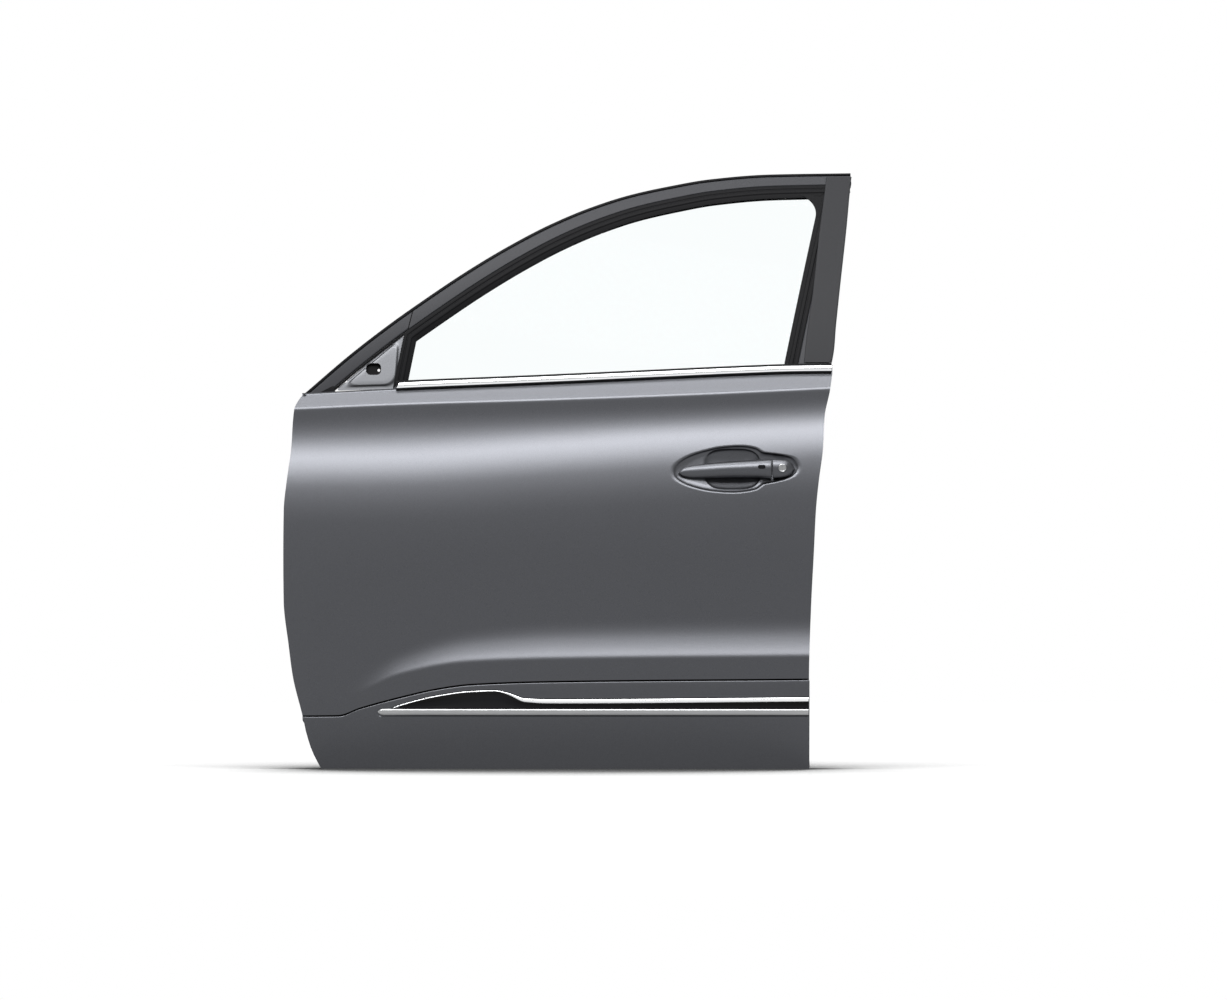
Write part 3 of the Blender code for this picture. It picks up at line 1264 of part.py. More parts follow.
def build_sail_corner():
    """Rubber wedge where the window frame's front end meets the belt."""
    outer = FACE_OUT + CLEAR * 2
    loops = [[(across(px), DRUM.world_y(across(px), up(py), out), up(py)) for px, py in CORNER_RUBBER_PX]
             for out in (outer, outer + CORNER_RUBBER_T)]
    return loft("sail_corner_rubber", np.array(loops), RUBBER)


def build_garnish():
    """Painted cladding along the sill, with the recess for its bright strips."""
    grid = []
    for px in (GARNISH_FRONT_PX, *GARNISH_PLAIN_PX, *GARNISH_PX, GARNISH_REAR_PX):
        top = smooth(px, SKIN_END_PX) + GARNISH_GAP_PX
        upper = np.minimum(smooth(px, GARNISH_TOP_PX), GARNISH_LOW_PX - GARNISH_GAP_PX)
        fade = smooth(px, RECESS_FADE) * RECESS_DEPTH
        rows = [(top, 0), (np.maximum(upper - RECESS_WALL_PX, top + RECESS_WALL_PX), 0),
                (np.maximum(upper, top + RECESS_WALL_PX * 2), fade),
                (np.maximum(GARNISH_LOW_PX - RECESS_WALL_PX, top + RECESS_WALL_PX * 3), fade),
                (np.maximum(GARNISH_LOW_PX, top + RECESS_WALL_PX * 4), 0), (SILL_PX + 1, 0), (TUCK_PX, 0), (BOTTOM_PX - GARNISH_GAP_PX * 2, 0),
                (BOTTOM_PX, 0), (BOTTOM_PX, GARNISH_STEP - CLEAR * 3)]
        line = []
        for py, back in rows:
            x = px + float(front_edge(py) - front_edge(SKIN_END_PX[0][1])) * (px == GARNISH_FRONT_PX)
            line.append(points(x, py, side_depth(x, py) + back))
        grid.append(line)
    return sheet("lower_garnish", [np.array(grid)], GARNISH_T, PAINT, OUTWARD)


def strip_loops(px, high, low, proud, floor):
    """Sections of a raised strip between pixel rows high and low, whose back lies at floor."""
    loops = []
    for p, a, b, back in zip(px, high, low, floor):
        spots = ((0, back), (0, -proud / 3), (STRIP_ROUND_SHARE, -proud), (1 - STRIP_ROUND_SHARE, -proud),
                 (1, -proud / 3), (1, back))
        loops.append([points(p, a + (b - a) * share, side_depth(p, a + (b - a) * share) + d) for share, d in spots])
    return np.array(loops)


def build_garnish_strips():
    """Chrome strip over the recess, satin bar under it and the black insert between."""
    stations = np.array((*GARNISH_PX, TRIM_END_PX))
    floor = smooth(stations, RECESS_FADE) * RECESS_DEPTH - GARNISH_FLOOR_GAP
    top = smooth(stations, GARNISH_TOP_PX) + RECESS_WALL_PX
    under = top + py_of(smooth(stations, CHROME_STRIP_HEIGHT))
    long = stations >= CHROME_TIP_PX
    loft("garnish_chrome_strip", strip_loops(stations[long], top[long], under[long], TRIM_RISE, floor[long]), CHROME)
    middle = (SATIN_PX[0] + SATIN_PX[1]) / 2
    half = (SATIN_PX[1] - SATIN_PX[0]) / 2 * smooth(stations, SATIN_TIP_SHARES)
    back = np.where(stations >= INSERT_TIP_PX, floor, -CLEAR)
    loft("garnish_satin_strip", strip_loops(stations, middle - half, middle + half, TRIM_RISE, back), SATIN)
    deep = stations >= INSERT_TIP_PX
    loops = []
    for px, high, back in zip(stations[deep], under[deep] + RECESS_WALL_PX, floor[deep]):
        low = SATIN_PX[0] - RECESS_WALL_PX
        spots = ((high, back), (high, back - INSERT_T), (low, back - INSERT_T * 2), (low, back))
        loops.append([points(px, py, side_depth(px, py) + d) for py, d in spots])
    loft("garnish_black_insert", np.array(loops), GLOSS_BLACK)


def build_hinge_plates():
    """Threaded plates behind the front wall, for the bolts of the door hinges."""
    for name, height in (("upper", 0), ("lower", HINGE_LOWER_HEIGHT - HINGE_UPPER_HEIGHT)):
        spot = (INNER_T + CLEAR + HINGE_PLATE_T / 2, 0, height)
        plate = box(f"hinge_plate_{name}", (HINGE_PLATE_T, *HINGE_PLATE), spot, PRIMER)
        for side in (-1, 1):
            bolt = (spot[0], 0, height + side * HINGE_PITCH / 2)
            cut(plate, disc(f"hinge_thread_{name}", THREAD_R, OVERRUN * 4, bolt, rotation=facing((1, 0, 0)),
                            collection=CUTTERS, sides=12))


def build_carriage():
    """Plastic clamp that carries the glass on the regulator rail."""
    grip = GLASS_T / 2 + GRIP_GAP
    wing = grip + CARRIAGE_WALL
    slide = RAIL_OUT - CLEAR
    section = ((CARRIAGE_WRAP, grip), (CARRIAGE_WRAP, wing), (-CARRIAGE_WALL * 3, wing),
               (-CARRIAGE_BELOW, -slide / 2), (-CARRIAGE_BELOW, -slide), (-CARRIAGE_NECK, -slide),
               (-CARRIAGE_NECK, -slide / 2 - CARRIAGE_WALL), (-CARRIAGE_WALL, -wing), (CARRIAGE_WRAP, -wing),
               (CARRIAGE_WRAP, -grip), (-CLEAR, -grip), (-CLEAR, grip))
    along = (RAIL_ALONG - CARRIAGE_HALF, RAIL_ALONG, RAIL_ALONG + CARRIAGE_HALF)
    loops = [[DRUM.place(s, glass_bottom(s) + w, out) for w, out in section] for s in along]
    return loft("glass_carriage", np.array(loops), BLACK_PLASTIC)


def build_regulator():
    """Guide rail with its brackets, cable guides, cables, drum and motor."""
    belt = belt_around(RAIL_ALONG)
    top, bottom = belt - RAIL_TOP, belt - RAIL_TOP - RAIL_LENGTH
    around = np.linspace(top, bottom, math.ceil((top - bottom) / ARC_STEP) + 1)
    columns = ((-RAIL_FOOT, -RAIL_BACK), (-RAIL_HALF, -RAIL_BACK), (-RAIL_HALF, -RAIL_OUT), (RAIL_HALF, -RAIL_OUT),
               (RAIL_HALF, -RAIL_BACK), (RAIL_FOOT, -RAIL_BACK))
    lean = (belt_around(RAIL_ALONG + RAIL_FOOT) - belt_around(RAIL_ALONG - RAIL_FOOT)) / RAIL_FOOT / 2
    grid = [[DRUM.place(RAIL_ALONG + s, w + lean * s, out) for s, out in columns] for w in around]
    sheet("regulator_rail", [np.array(grid)], RAIL_T, ZINC, OUTWARD)
    for name, end in (("upper", top - RAIL_BRACKET_IN[0]), ("lower", bottom + RAIL_BRACKET_IN[1])):
        foot = -RAIL_BACK - RAIL_T - CLEAR
        near = [DRUM.place(RAIL_ALONG + s, end + w, foot) for s, w in
                ((-RAIL_FOOT, RAIL_BRACKET), (RAIL_FOOT, RAIL_BRACKET), (RAIL_FOOT, -RAIL_BRACKET),
                 (-RAIL_FOOT, -RAIL_BRACKET))]
        far = [(p[0], float(inner_face_depth(column(p[0]), row(p[2]))) - INNER_T * 2 - CLEAR - HINGE_DEPTH, p[2])
               for p in near]
        loft(f"rail_bracket_{name}", np.array([near, far]), ZINC)
    guide = GUIDE_SIZE
    spots = {}
    for name, end in (("upper", top - guide[2] / 2 - CLEAR), ("lower", bottom + guide[2] / 2 + CLEAR)):
        low, high = -RAIL_OUT + CLEAR, -RAIL_OUT + CLEAR + guide[1]
        section = ((-guide[2] / 2, low), (-guide[2] / 2, high), (guide[2] / 2, high), (guide[2] / 2, low))
        loops = [[DRUM.place(RAIL_ALONG + s, end + lean * s + w, out) for w, out in section]
                 for s in (-guide[0] / 2, guide[0] / 2)]
        loft(f"cable_guide_{name}", np.array(loops), BLACK_PLASTIC)
        side = guide[0] / 2 + CABLE_R + CLEAR * 2
        spots[name] = DRUM.place(RAIL_ALONG + side, end + lean * side, (low + high) / 2)
    face = INNER_FACE_DEPTH - INNER_T - CLEAR - DRUM_T / 2
    hub = points(*DRUM_PX, face)
    disc("drum_housing", DRUM_R, DRUM_T, hub, ZINC, rotation=facing(OUTWARD), sides=32)
    shift = np.array([DRUM_R + MOTOR_LENGTH / 2 + CLEAR * 2, DRUM_T / 2 - MOTOR_R, 0])
    disc("regulator_motor", MOTOR_R, MOTOR_LENGTH, hub + shift, GLOSS_BLACK, rotation=facing((1, 0, 0)), sides=24)
    for name, turn, bow in zip(("upper", "lower"), np.radians(CABLE_TURNS), CABLE_BOWS):
        start = spots[name]
        ray = np.array([math.cos(turn), 0, math.sin(turn)])
        end = hub + ray * (DRUM_R + CABLE_R + CLEAR) + np.array([0, -DRUM_T / 4, 0])
        middle = (start + end) / 2 + np.array(bow)
        route = [start * (1 - t) ** 2 + 2 * middle * t * (1 - t) + end * t * t for t in np.linspace(0, 1, 9)]
        rod(f"regulator_cable_{name}", route, CABLE_R, BLACK_PLASTIC)


def skin_place(px, py, behind):
    """World point behind the outer surface of the body side."""
    return points(px, py, side_depth(px, py) + behind)


def dish_depth_at(px, py):
    """Depth of the dish under a pixel, behind the body side."""
    cx, cy = DISH_CENTRE_PX
    ox, oy = dish_reach(px, py)
    share = np.hypot(px - cx, py - cy) / np.hypot(ox - cx, oy - cy)
    middle = (DISH_WALL_SHARE + DISH_FLOOR_SHARE) / 2
    return np.interp(share, (DISH_FLOOR_SHARE, middle, DISH_WALL_SHARE, 1),
                     (DISH_DEPTH, (DISH_WALL + 2 * DISH_DEPTH) / 3, DISH_WALL, 0))


def grip_loops(stations, top, bottom, proud, back):
    """Rounded sections of the handle between pixel rows top and bottom, from proud of the side to back."""
    loops = []
    turn = np.linspace(0, 2 * math.pi, GRIP_SIDES, endpoint=False)
    wide = np.sign(np.cos(turn)) * np.abs(np.cos(turn)) ** GRIP_SQUARE_SHARE
    deep = np.sign(np.sin(turn)) * np.abs(np.sin(turn)) ** GRIP_SQUARE_SHARE
    for p, a, b, front, rear in zip(stations, top, bottom, proud, back):
        base = side_depth(p, (a + b) / 2)
        middle, half = (rear - front) / 2, (rear + front) / 2
        loops.append(points(p, (a + b) / 2 + (b - a) / 2 * wide, base + middle + half * deep))
    return np.array(loops)


def build_handle():
    """Pull grip with its legs, fixed end cap with the lock, button, carrier and release cable."""
    stations = np.array(GRIP_STATIONS_PX)
    proud, thick = smooth(stations, GRIP_PROUD), smooth(stations, GRIP_THICK)
    grip = loft("handle_grip", grip_loops(stations, smooth(stations, GRIP_TOP_PX), smooth(stations, GRIP_BOTTOM_PX),
                                          proud, thick - proud), PAINT)
    for name, px, deep in (("front_leg", GRIP_FRONT_LEG_PX, GRIP_FRONT_LEG_DEPTH),
                           ("rear_leg", GRIP_LEG_PX, GRIP_REAR_LEG_DEPTH)):
        start = float(thick[0] / 2 - smooth(px, GRIP_PROUD))
        leg = box(name, (GRIP_LEG, deep - start, GRIP_LEG), skin_place(px, GRIP_PIVOT_PX[1], (deep + start) / 2),
                  collection=CUTTERS)
        cut(grip, leg, "UNION")
    stations = np.array(CAP_STATIONS_PX)
    top, bottom = smooth(stations, CAP_TOP_PX), smooth(stations, CAP_BOTTOM_PX)
    floor = np.minimum(dish_depth_at(stations, top), dish_depth_at(stations, bottom)) - CAP_LIFT
    cap = loft("handle_end_cap", grip_loops(stations, top, bottom, smooth(stations, CAP_PROUD), floor), PAINT)
    through = facing(OUTWARD)
    cut(cap, disc("cap_key_hole", KEY_HOLE_R, GRIP_REAR_LEG_DEPTH * 3, skin_place(*KEY_PX, 0), rotation=through,
                  collection=CUTTERS, sides=24))
    proud = float(smooth(KEY_PX[0], CAP_PROUD)) + KEY_PROUD
    disc("lock_cylinder", KEY_R, KEY_DEPTH + proud, skin_place(*KEY_PX, (KEY_DEPTH - proud) / 2), CHROME,
         rotation=through)
    cylinder = bpy.data.objects["lock_cylinder"]
    cut(cylinder, box("key_slot", (KEY_SLOT[0], KEY_SLOT[1] * 2, KEY_SLOT[2]), skin_place(*KEY_PX, -proud),
                      collection=CUTTERS))
    on_joint("lock_turn_joint", skin_place(*KEY_PX, 0), [cylinder])
    start, end = DISH_DEPTH + SKIN_T * 2, KEY_DEPTH + CARRIER_T * 2
    housing = disc("lock_housing", KEY_HOLE_R + KEY_WALL * 2, end - start + CARRIER_T, skin_place(*KEY_PX, end), ZINC,
                   rotation=through)
    cut(housing, disc("housing_bore", KEY_HOLE_R, KEY_DEPTH * 4, skin_place(*KEY_PX, end), rotation=through,
                      collection=CUTTERS))
    pocket = skin_place(*BUTTON_PX, -float(smooth(BUTTON_PX[0], GRIP_PROUD)))
    outline = rounded_rectangle(*(s + CLEAR * 2 for s in BUTTON_SIZE), BUTTON_SIZE[1] / 2)
    cut(grip, outline_solid("button_pocket", outline, BUTTON_DEPTH * 2, pocket, rotation=through,
                            collection=CUTTERS))
    outline = rounded_rectangle(*BUTTON_SIZE, BUTTON_SIZE[1] / 2 - CLEAR)
    button = outline_solid("request_button", outline, BUTTON_T, pocket + np.array([0, BUTTON_SINK, 0]), GLOSS_BLACK,
                           rotation=through)
    pivot = skin_place(*GRIP_PIVOT_PX, GRIP_PIVOT_DEPTH)
    on_joint("handle_pull_joint", pivot, [grip])
    on_joint("button_joint", pocket, [button])
    rows = np.array(CARRIER_ROWS_PX)[:, None]
    columns = np.linspace(*CARRIER_PX, 7)[None]
    base = DISH_DEPTH + SKIN_T * SLOPE_SHARE + CLEAR
    carrier = sheet("handle_carrier", [points(columns, rows, side_depth(columns, rows) + base)], CARRIER_T,
                    BLACK_PLASTIC, OUTWARD)
    hole = (LEG_HOLE, KEY_DEPTH * 4, LEG_HOLE)
    for px in (GRIP_FRONT_LEG_PX, GRIP_LEG_PX):
        cut(carrier, box("carrier_leg_hole", hole, skin_place(px, GRIP_PIVOT_PX[1], 0), collection=CUTTERS))
    cut(carrier, disc("carrier_key_hole", KEY_HOLE_R + KEY_WALL * 2 + CLEAR, KEY_DEPTH * 4, skin_place(*KEY_PX, 0),
                      rotation=through, collection=CUTTERS))
    start = skin_place(*CABLE_START_PX, base + CARRIER_T + CABLE_R + CLEAR * 2)
    end = np.array(latch_place((-LATCH_CASE[0] / 2, -LATCH_CASE[1] / 3, LATCH_CASE[2] / 2 + CABLE_R + CLEAR)))
    middle = np.array([start[0], start[1], end[2]]) * CABLE_BEND_SHARE + end * (1 - CABLE_BEND_SHARE)
    route = [start * (1 - t) ** 2 + 2 * middle * t * (1 - t) + end * t * t for t in np.linspace(0, 1, 9)]
    rod("release_cable", route, CABLE_R, BLACK_PLASTIC)


def build_latch():
    """Rotary latch on the rear wall: case, fork, pawl, actuator and screws."""
    turn = latch_turn()
    along = turn @ facing((1, 0, 0))
    deep, wide, high = LATCH_CASE
    back = INNER_T + CLEAR
    case = box("latch_case", LATCH_CASE, latch_place((-back - deep / 2, 0, 0)), ZINC, rotation=turn)
    pocket_x = -back - LATCH_POCKET_IN - LATCH_POCKET[0] / 2
    pocket = box("latch_pocket", LATCH_POCKET, latch_place((pocket_x, 0, 0)), rotation=turn, collection=CUTTERS)
    for spot in (FORK_AT, PAWL_AT):
        cut(pocket, disc("latch_pin", PIN_R, LATCH_CASE[0], latch_place((pocket_x, *spot)), rotation=along,
                         collection=CUTTERS))
    cut(case, pocket)
    slot = latch_place((-back, FISHMOUTH[1] / 2 - OVERRUN, 0))
    cut(case, box("fishmouth_slot", FISHMOUTH, slot, rotation=turn, collection=CUTTERS))
    for i, spot in enumerate(latch_screws()):
        cut(case, disc(f"case_screw_hole_{i}", SCREW_R / 2 + CLEAR, SCREW_LENGTH * 2, latch_place((0, *spot)),
                       rotation=along, collection=CUTTERS, sides=12))
        profile = ((0, SCREW_HEAD), (SCREW_R * SCREW_CROWN_SHARE, SCREW_HEAD), (SCREW_R, CLEAR), (SCREW_R / 2, CLEAR),
                   (SCREW_R / 2, -SCREW_LENGTH), (0, -SCREW_LENGTH))
        turned(f"latch_screw_{i + 1}", profile, latch_place((0, *spot)), ZINC, rotation=along, steps=12)
    fork = disc("latch_fork", FORK_R, FORK_T, latch_place((pocket_x, *FORK_AT)), ZINC, rotation=along, sides=32)
    cut(fork, disc("fork_bore", PIN_R + PIN_GAP, FORK_T * 2, latch_place((pocket_x, *FORK_AT)), rotation=along,
                   collection=CUTTERS))
    gap = (FORK_T * 2, FORK_SLOT, FORK_R * 2)
    cut(fork, box("fork_slot", gap, latch_place((pocket_x, FORK_AT[0], FORK_SLOT / 2 - FORK_R)), rotation=turn,
                  collection=CUTTERS))
    on_joint("fork_joint", latch_place((pocket_x, *FORK_AT)), [fork])
    pawl = disc("latch_pawl", PAWL_R, FORK_T, latch_place((pocket_x, *PAWL_AT)), ZINC, rotation=along)
    reach = PAWL_ARM[1] / 2
    cut(pawl, box("pawl_arm", (FORK_T, *PAWL_ARM), latch_place((pocket_x, PAWL_AT[0], PAWL_AT[1] + reach)),
                  rotation=turn, collection=CUTTERS), "UNION")
    cut(pawl, disc("pawl_bore", PIN_R + PIN_GAP, FORK_T * 2, latch_place((pocket_x, *PAWL_AT)), rotation=along,
                   collection=CUTTERS))
    on_joint("pawl_joint", latch_place((pocket_x, *PAWL_AT)), [pawl])
    spot = (-back - ACTUATOR[0] / 2, 0, -(high + ACTUATOR[2]) / 2 - CLEAR)
    box("latch_actuator", ACTUATOR, latch_place(spot), BLACK_PLASTIC, rotation=turn, bevel=FORK_T / 2)


def build_beam():
    """Intrusion beam behind the skin with a bracket at each end."""
    depth = SKIN_T + BEAM_STANDOFF + BEAM_R
    front, rear = skin_place(*BEAM_FRONT_PX, depth), skin_place(*BEAM_REAR_PX, depth)
    run = rear - front
    length = float(np.linalg.norm(run))
    turn = facing(run / length)
    beam = disc("impact_beam", BEAM_R, length, (front + rear) / 2, PRIMER, rotation=turn, sides=20)
    cut(beam, disc("beam_bore", BEAM_R - BEAM_WALL, length * 2, (front + rear) / 2, rotation=turn,
                   collection=CUTTERS, sides=20))
    for name, spot, wall in (("front", front, INNER_T + CLEAR * 2),
                             ("rear", rear, float(across(wall_rear_px(BEAM_REAR_PX[1]))) - INNER_T * 2 - CLEAR * 2)):
        way = 1 if name == "front" else -1
        y = spot[1] + BEAM_R + CLEAR
        drift = (spot[0] + way * BRACKET_SIZE[0] - wall) * run[1] / run[0]
        y += (wall - spot[0]) * run[1] / run[0]
        columns = ((wall, y + BRACKET_LEG), (wall, y), (spot[0] + way * BRACKET_SIZE[0], y + drift))
        grid = [[(x, cy, spot[2] + h) for x, cy in columns] for h in (-BRACKET_SIZE[1] / 2, BRACKET_SIZE[1] / 2)]
        sheet(f"beam_bracket_{name}", [np.array(grid)], BRACKET_T, PRIMER, OUTWARD)


def build_perimeter_seal():
    """Hollow body seal's round bead around the inner panel."""
    rows = np.array(SEAL_ROWS_PX)
    front = wall_front_px(rows) + px_of(SEAL_INSET)
    rear = wall_rear_px(rows) - px_of(SEAL_INSET)
    low = SEAL_ROWS_PX[-1] + py_of(SEAL_INSET)
    bottom = np.linspace(front[-1] + px_of(SEAL_INSET), rear[-1] - px_of(SEAL_INSET), 8)
    px = np.concatenate([front, bottom, rear[::-1]])
    py = np.concatenate([rows, low + 0 * bottom, rows[::-1]])
    depth = inner_face_depth(px, py) + SEAL_R + CLEAR
    return rod("perimeter_seal", points(px, py, depth), SEAL_R, RUBBER)


def main():
    clear_scene()
    build_outer_panel()
    build_inner_panel()
    build_header_frame()
    build_front_sash()
    build_header_lip_seal()
    build_glass_run()
    front, rear = -GLASS_FRONT_EDGE, GLASS_REAR_EDGE
    deep = RUN_BELOW_BELT + OVERRUN
    guide_channel("division_channel", front, -1, glass_top(front) - RUN_GRIP, belt_around(front) - deep)
    guide_channel("rear_guide_channel", rear, 1, belt_around(rear) - RUN_GRIP, belt_around(rear) - deep)
    glass = build_window_glass()
    build_pillar_frame()
    build_pillar_applique()
    build_sail_plate()
    build_sail_corner()
    build_belt_chrome()
    build_belt_seal_outer()
    build_belt_reinforcement_inner()
    build_belt_seal_inner()
    build_belt_reinforcement_outer()
    build_garnish()
    build_garnish_strips()
    build_hinge_plates()
    on_joint("window_joint", DRUM.centre, [glass, build_carriage()])
    build_regulator()
    build_handle()
    build_latch()
    build_beam()
    build_perimeter_seal()


main()
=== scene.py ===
"""Looks of a framed front left car door: dense skins, trim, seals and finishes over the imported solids.

Metres, +Z up, +X towards the rear of the car, outside faces -Y, origin in the upper hinge face. A shape is a
grid of points worked out from the same named sizes as the solids: pixel columns and rows of a straight-on
view give width and height, and a depth behind the outermost plane of the body side gives the third.
"""

import logging
import math
from dataclasses import dataclass, field
from enum import Enum

import bmesh
import bpy
import numpy as np
from mathutils import Matrix, Vector


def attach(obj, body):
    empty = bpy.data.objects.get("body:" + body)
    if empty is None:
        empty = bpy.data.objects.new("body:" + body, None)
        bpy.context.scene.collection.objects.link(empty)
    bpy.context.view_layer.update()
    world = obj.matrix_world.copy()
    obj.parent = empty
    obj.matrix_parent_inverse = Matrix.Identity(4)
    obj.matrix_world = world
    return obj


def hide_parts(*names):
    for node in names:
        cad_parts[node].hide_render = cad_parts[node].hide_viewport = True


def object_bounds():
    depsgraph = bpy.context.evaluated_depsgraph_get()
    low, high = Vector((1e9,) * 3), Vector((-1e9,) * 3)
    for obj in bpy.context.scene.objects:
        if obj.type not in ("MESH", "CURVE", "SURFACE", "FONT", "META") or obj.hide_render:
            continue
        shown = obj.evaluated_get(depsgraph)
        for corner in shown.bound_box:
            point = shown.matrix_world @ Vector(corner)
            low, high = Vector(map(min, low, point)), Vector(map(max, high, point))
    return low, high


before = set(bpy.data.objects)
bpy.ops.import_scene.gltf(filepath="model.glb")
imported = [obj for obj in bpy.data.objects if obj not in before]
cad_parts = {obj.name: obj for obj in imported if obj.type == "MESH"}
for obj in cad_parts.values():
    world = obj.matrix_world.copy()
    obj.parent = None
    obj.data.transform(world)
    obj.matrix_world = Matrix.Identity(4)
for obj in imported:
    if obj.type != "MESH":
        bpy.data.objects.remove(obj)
CAD_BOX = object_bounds()

Array = np.ndarray
Knots = tuple[tuple[float, float], ...]
log = logging.getLogger("door")

TINY = 1e-9
OUTWARD = (0, -1, 0)


class Body(Enum):
    """Rigid groups that pieces ride on."""

    DOOR = "door"
    WINDOW = "window"
    GRIP = "grip"
    BUTTON = "button"
    LOCK = "lock"


class Slot(Enum):
    """Material slots of the record that the pieces take."""

    PAINT = "paint"
    FRAME_PAINT = "frame_paint"
    PRIMER = "primer"
    CHROME = "chrome"
    SATIN = "satin"
    SATIN_GREY = "satin_grey"
    RUBBER = "rubber"
    GLOSS_BLACK = "gloss_black"
    GLASS = "glass"


@dataclass(frozen=True)
class View:
    """Scale of the straight-on view and where it puts the door."""

    length: float = 1.138
    height: float = 1.196
    left: float = 284
    right: float = 853
    top: float = 170
    bottom: float = 768
    hinge_inset: float = 0.046
    hinge_depth: float = 0.092
    hinge_height: float = 0.585

    def across(self, px: Array) -> Array:
        """World x of pixel columns."""
        return (np.asarray(px, float) - self.left) * self.length / (self.right - self.left) - self.hinge_inset

    def up(self, py: Array) -> Array:
        """World z of pixel rows."""
        return ((self.bottom - np.asarray(py, float)) * self.height / (self.bottom - self.top)
                - self.hinge_height)

    def row(self, z: Array) -> Array:
        """Pixel rows of world z."""
        above = np.asarray(z, float) + self.hinge_height
        return self.bottom - above * (self.bottom - self.top) / self.height

    def wide(self, length: Array) -> Array:
        """Pixels across of a length."""
        return length * (self.right - self.left) / self.length

    def tall(self, length: Array) -> Array:
        """Pixels down of a length."""
        return length * (self.bottom - self.top) / self.height

    def points(self, px: Array, py: Array, depth: Array) -> Array:
        """World points of pixel columns, pixel rows and depths."""
        px, py, depth = np.broadcast_arrays(px, py, depth)
        return np.stack([self.across(px), depth - self.hinge_depth, self.up(py)], axis=-1)


VIEW = View()


def smooth(at: Array, knots: Knots) -> Array:
    """Curve through knots that keeps their rises and falls, held level past both ends.

    Cubic pieces whose slope at a knot is the weighted harmonic mean of the chords beside it, and 0 at a peak.

    Args:
        at: places along the first coordinate.
        knots: points of the curve.

    Returns:
        The second coordinate at those places.
    """
    x, y = np.array(knots, float).T
    step = np.diff(x)
    chord = np.diff(y) / step
    tangent = np.zeros(len(x))
    tangent[0], tangent[-1] = chord[0], chord[-1]
    same = chord[:-1] * chord[1:] > 0
    before, after = 2 * step[1:] + step[:-1], step[1:] + 2 * step[:-1]
    inner = np.zeros(len(same))
    mean = before[same] / chord[:-1][same] + after[same] / chord[1:][same]
    inner[same] = (before + after)[same] / mean
    tangent[1:-1] = inner
    at = np.clip(np.asarray(at, float), x[0], x[-1])
    i = np.clip(np.searchsorted(x, at, side="right") - 1, 0, len(x) - 2)
    h = step[i]
    t = (at - x[i]) / h
    return ((1 + 2 * t) * (1 - t) ** 2 * y[i] + t * (1 - t) ** 2 * h * tangent[i]
            + t * t * (3 - 2 * t) * y[i + 1] - t * t * (1 - t) * h * tangent[i + 1])


def ease(t: Array) -> Array:
    """0 to 1 with level ends: three t squared less two t cubed."""
    t = np.clip(t, 0, 1)
    return t * t * (3 - 2 * t)


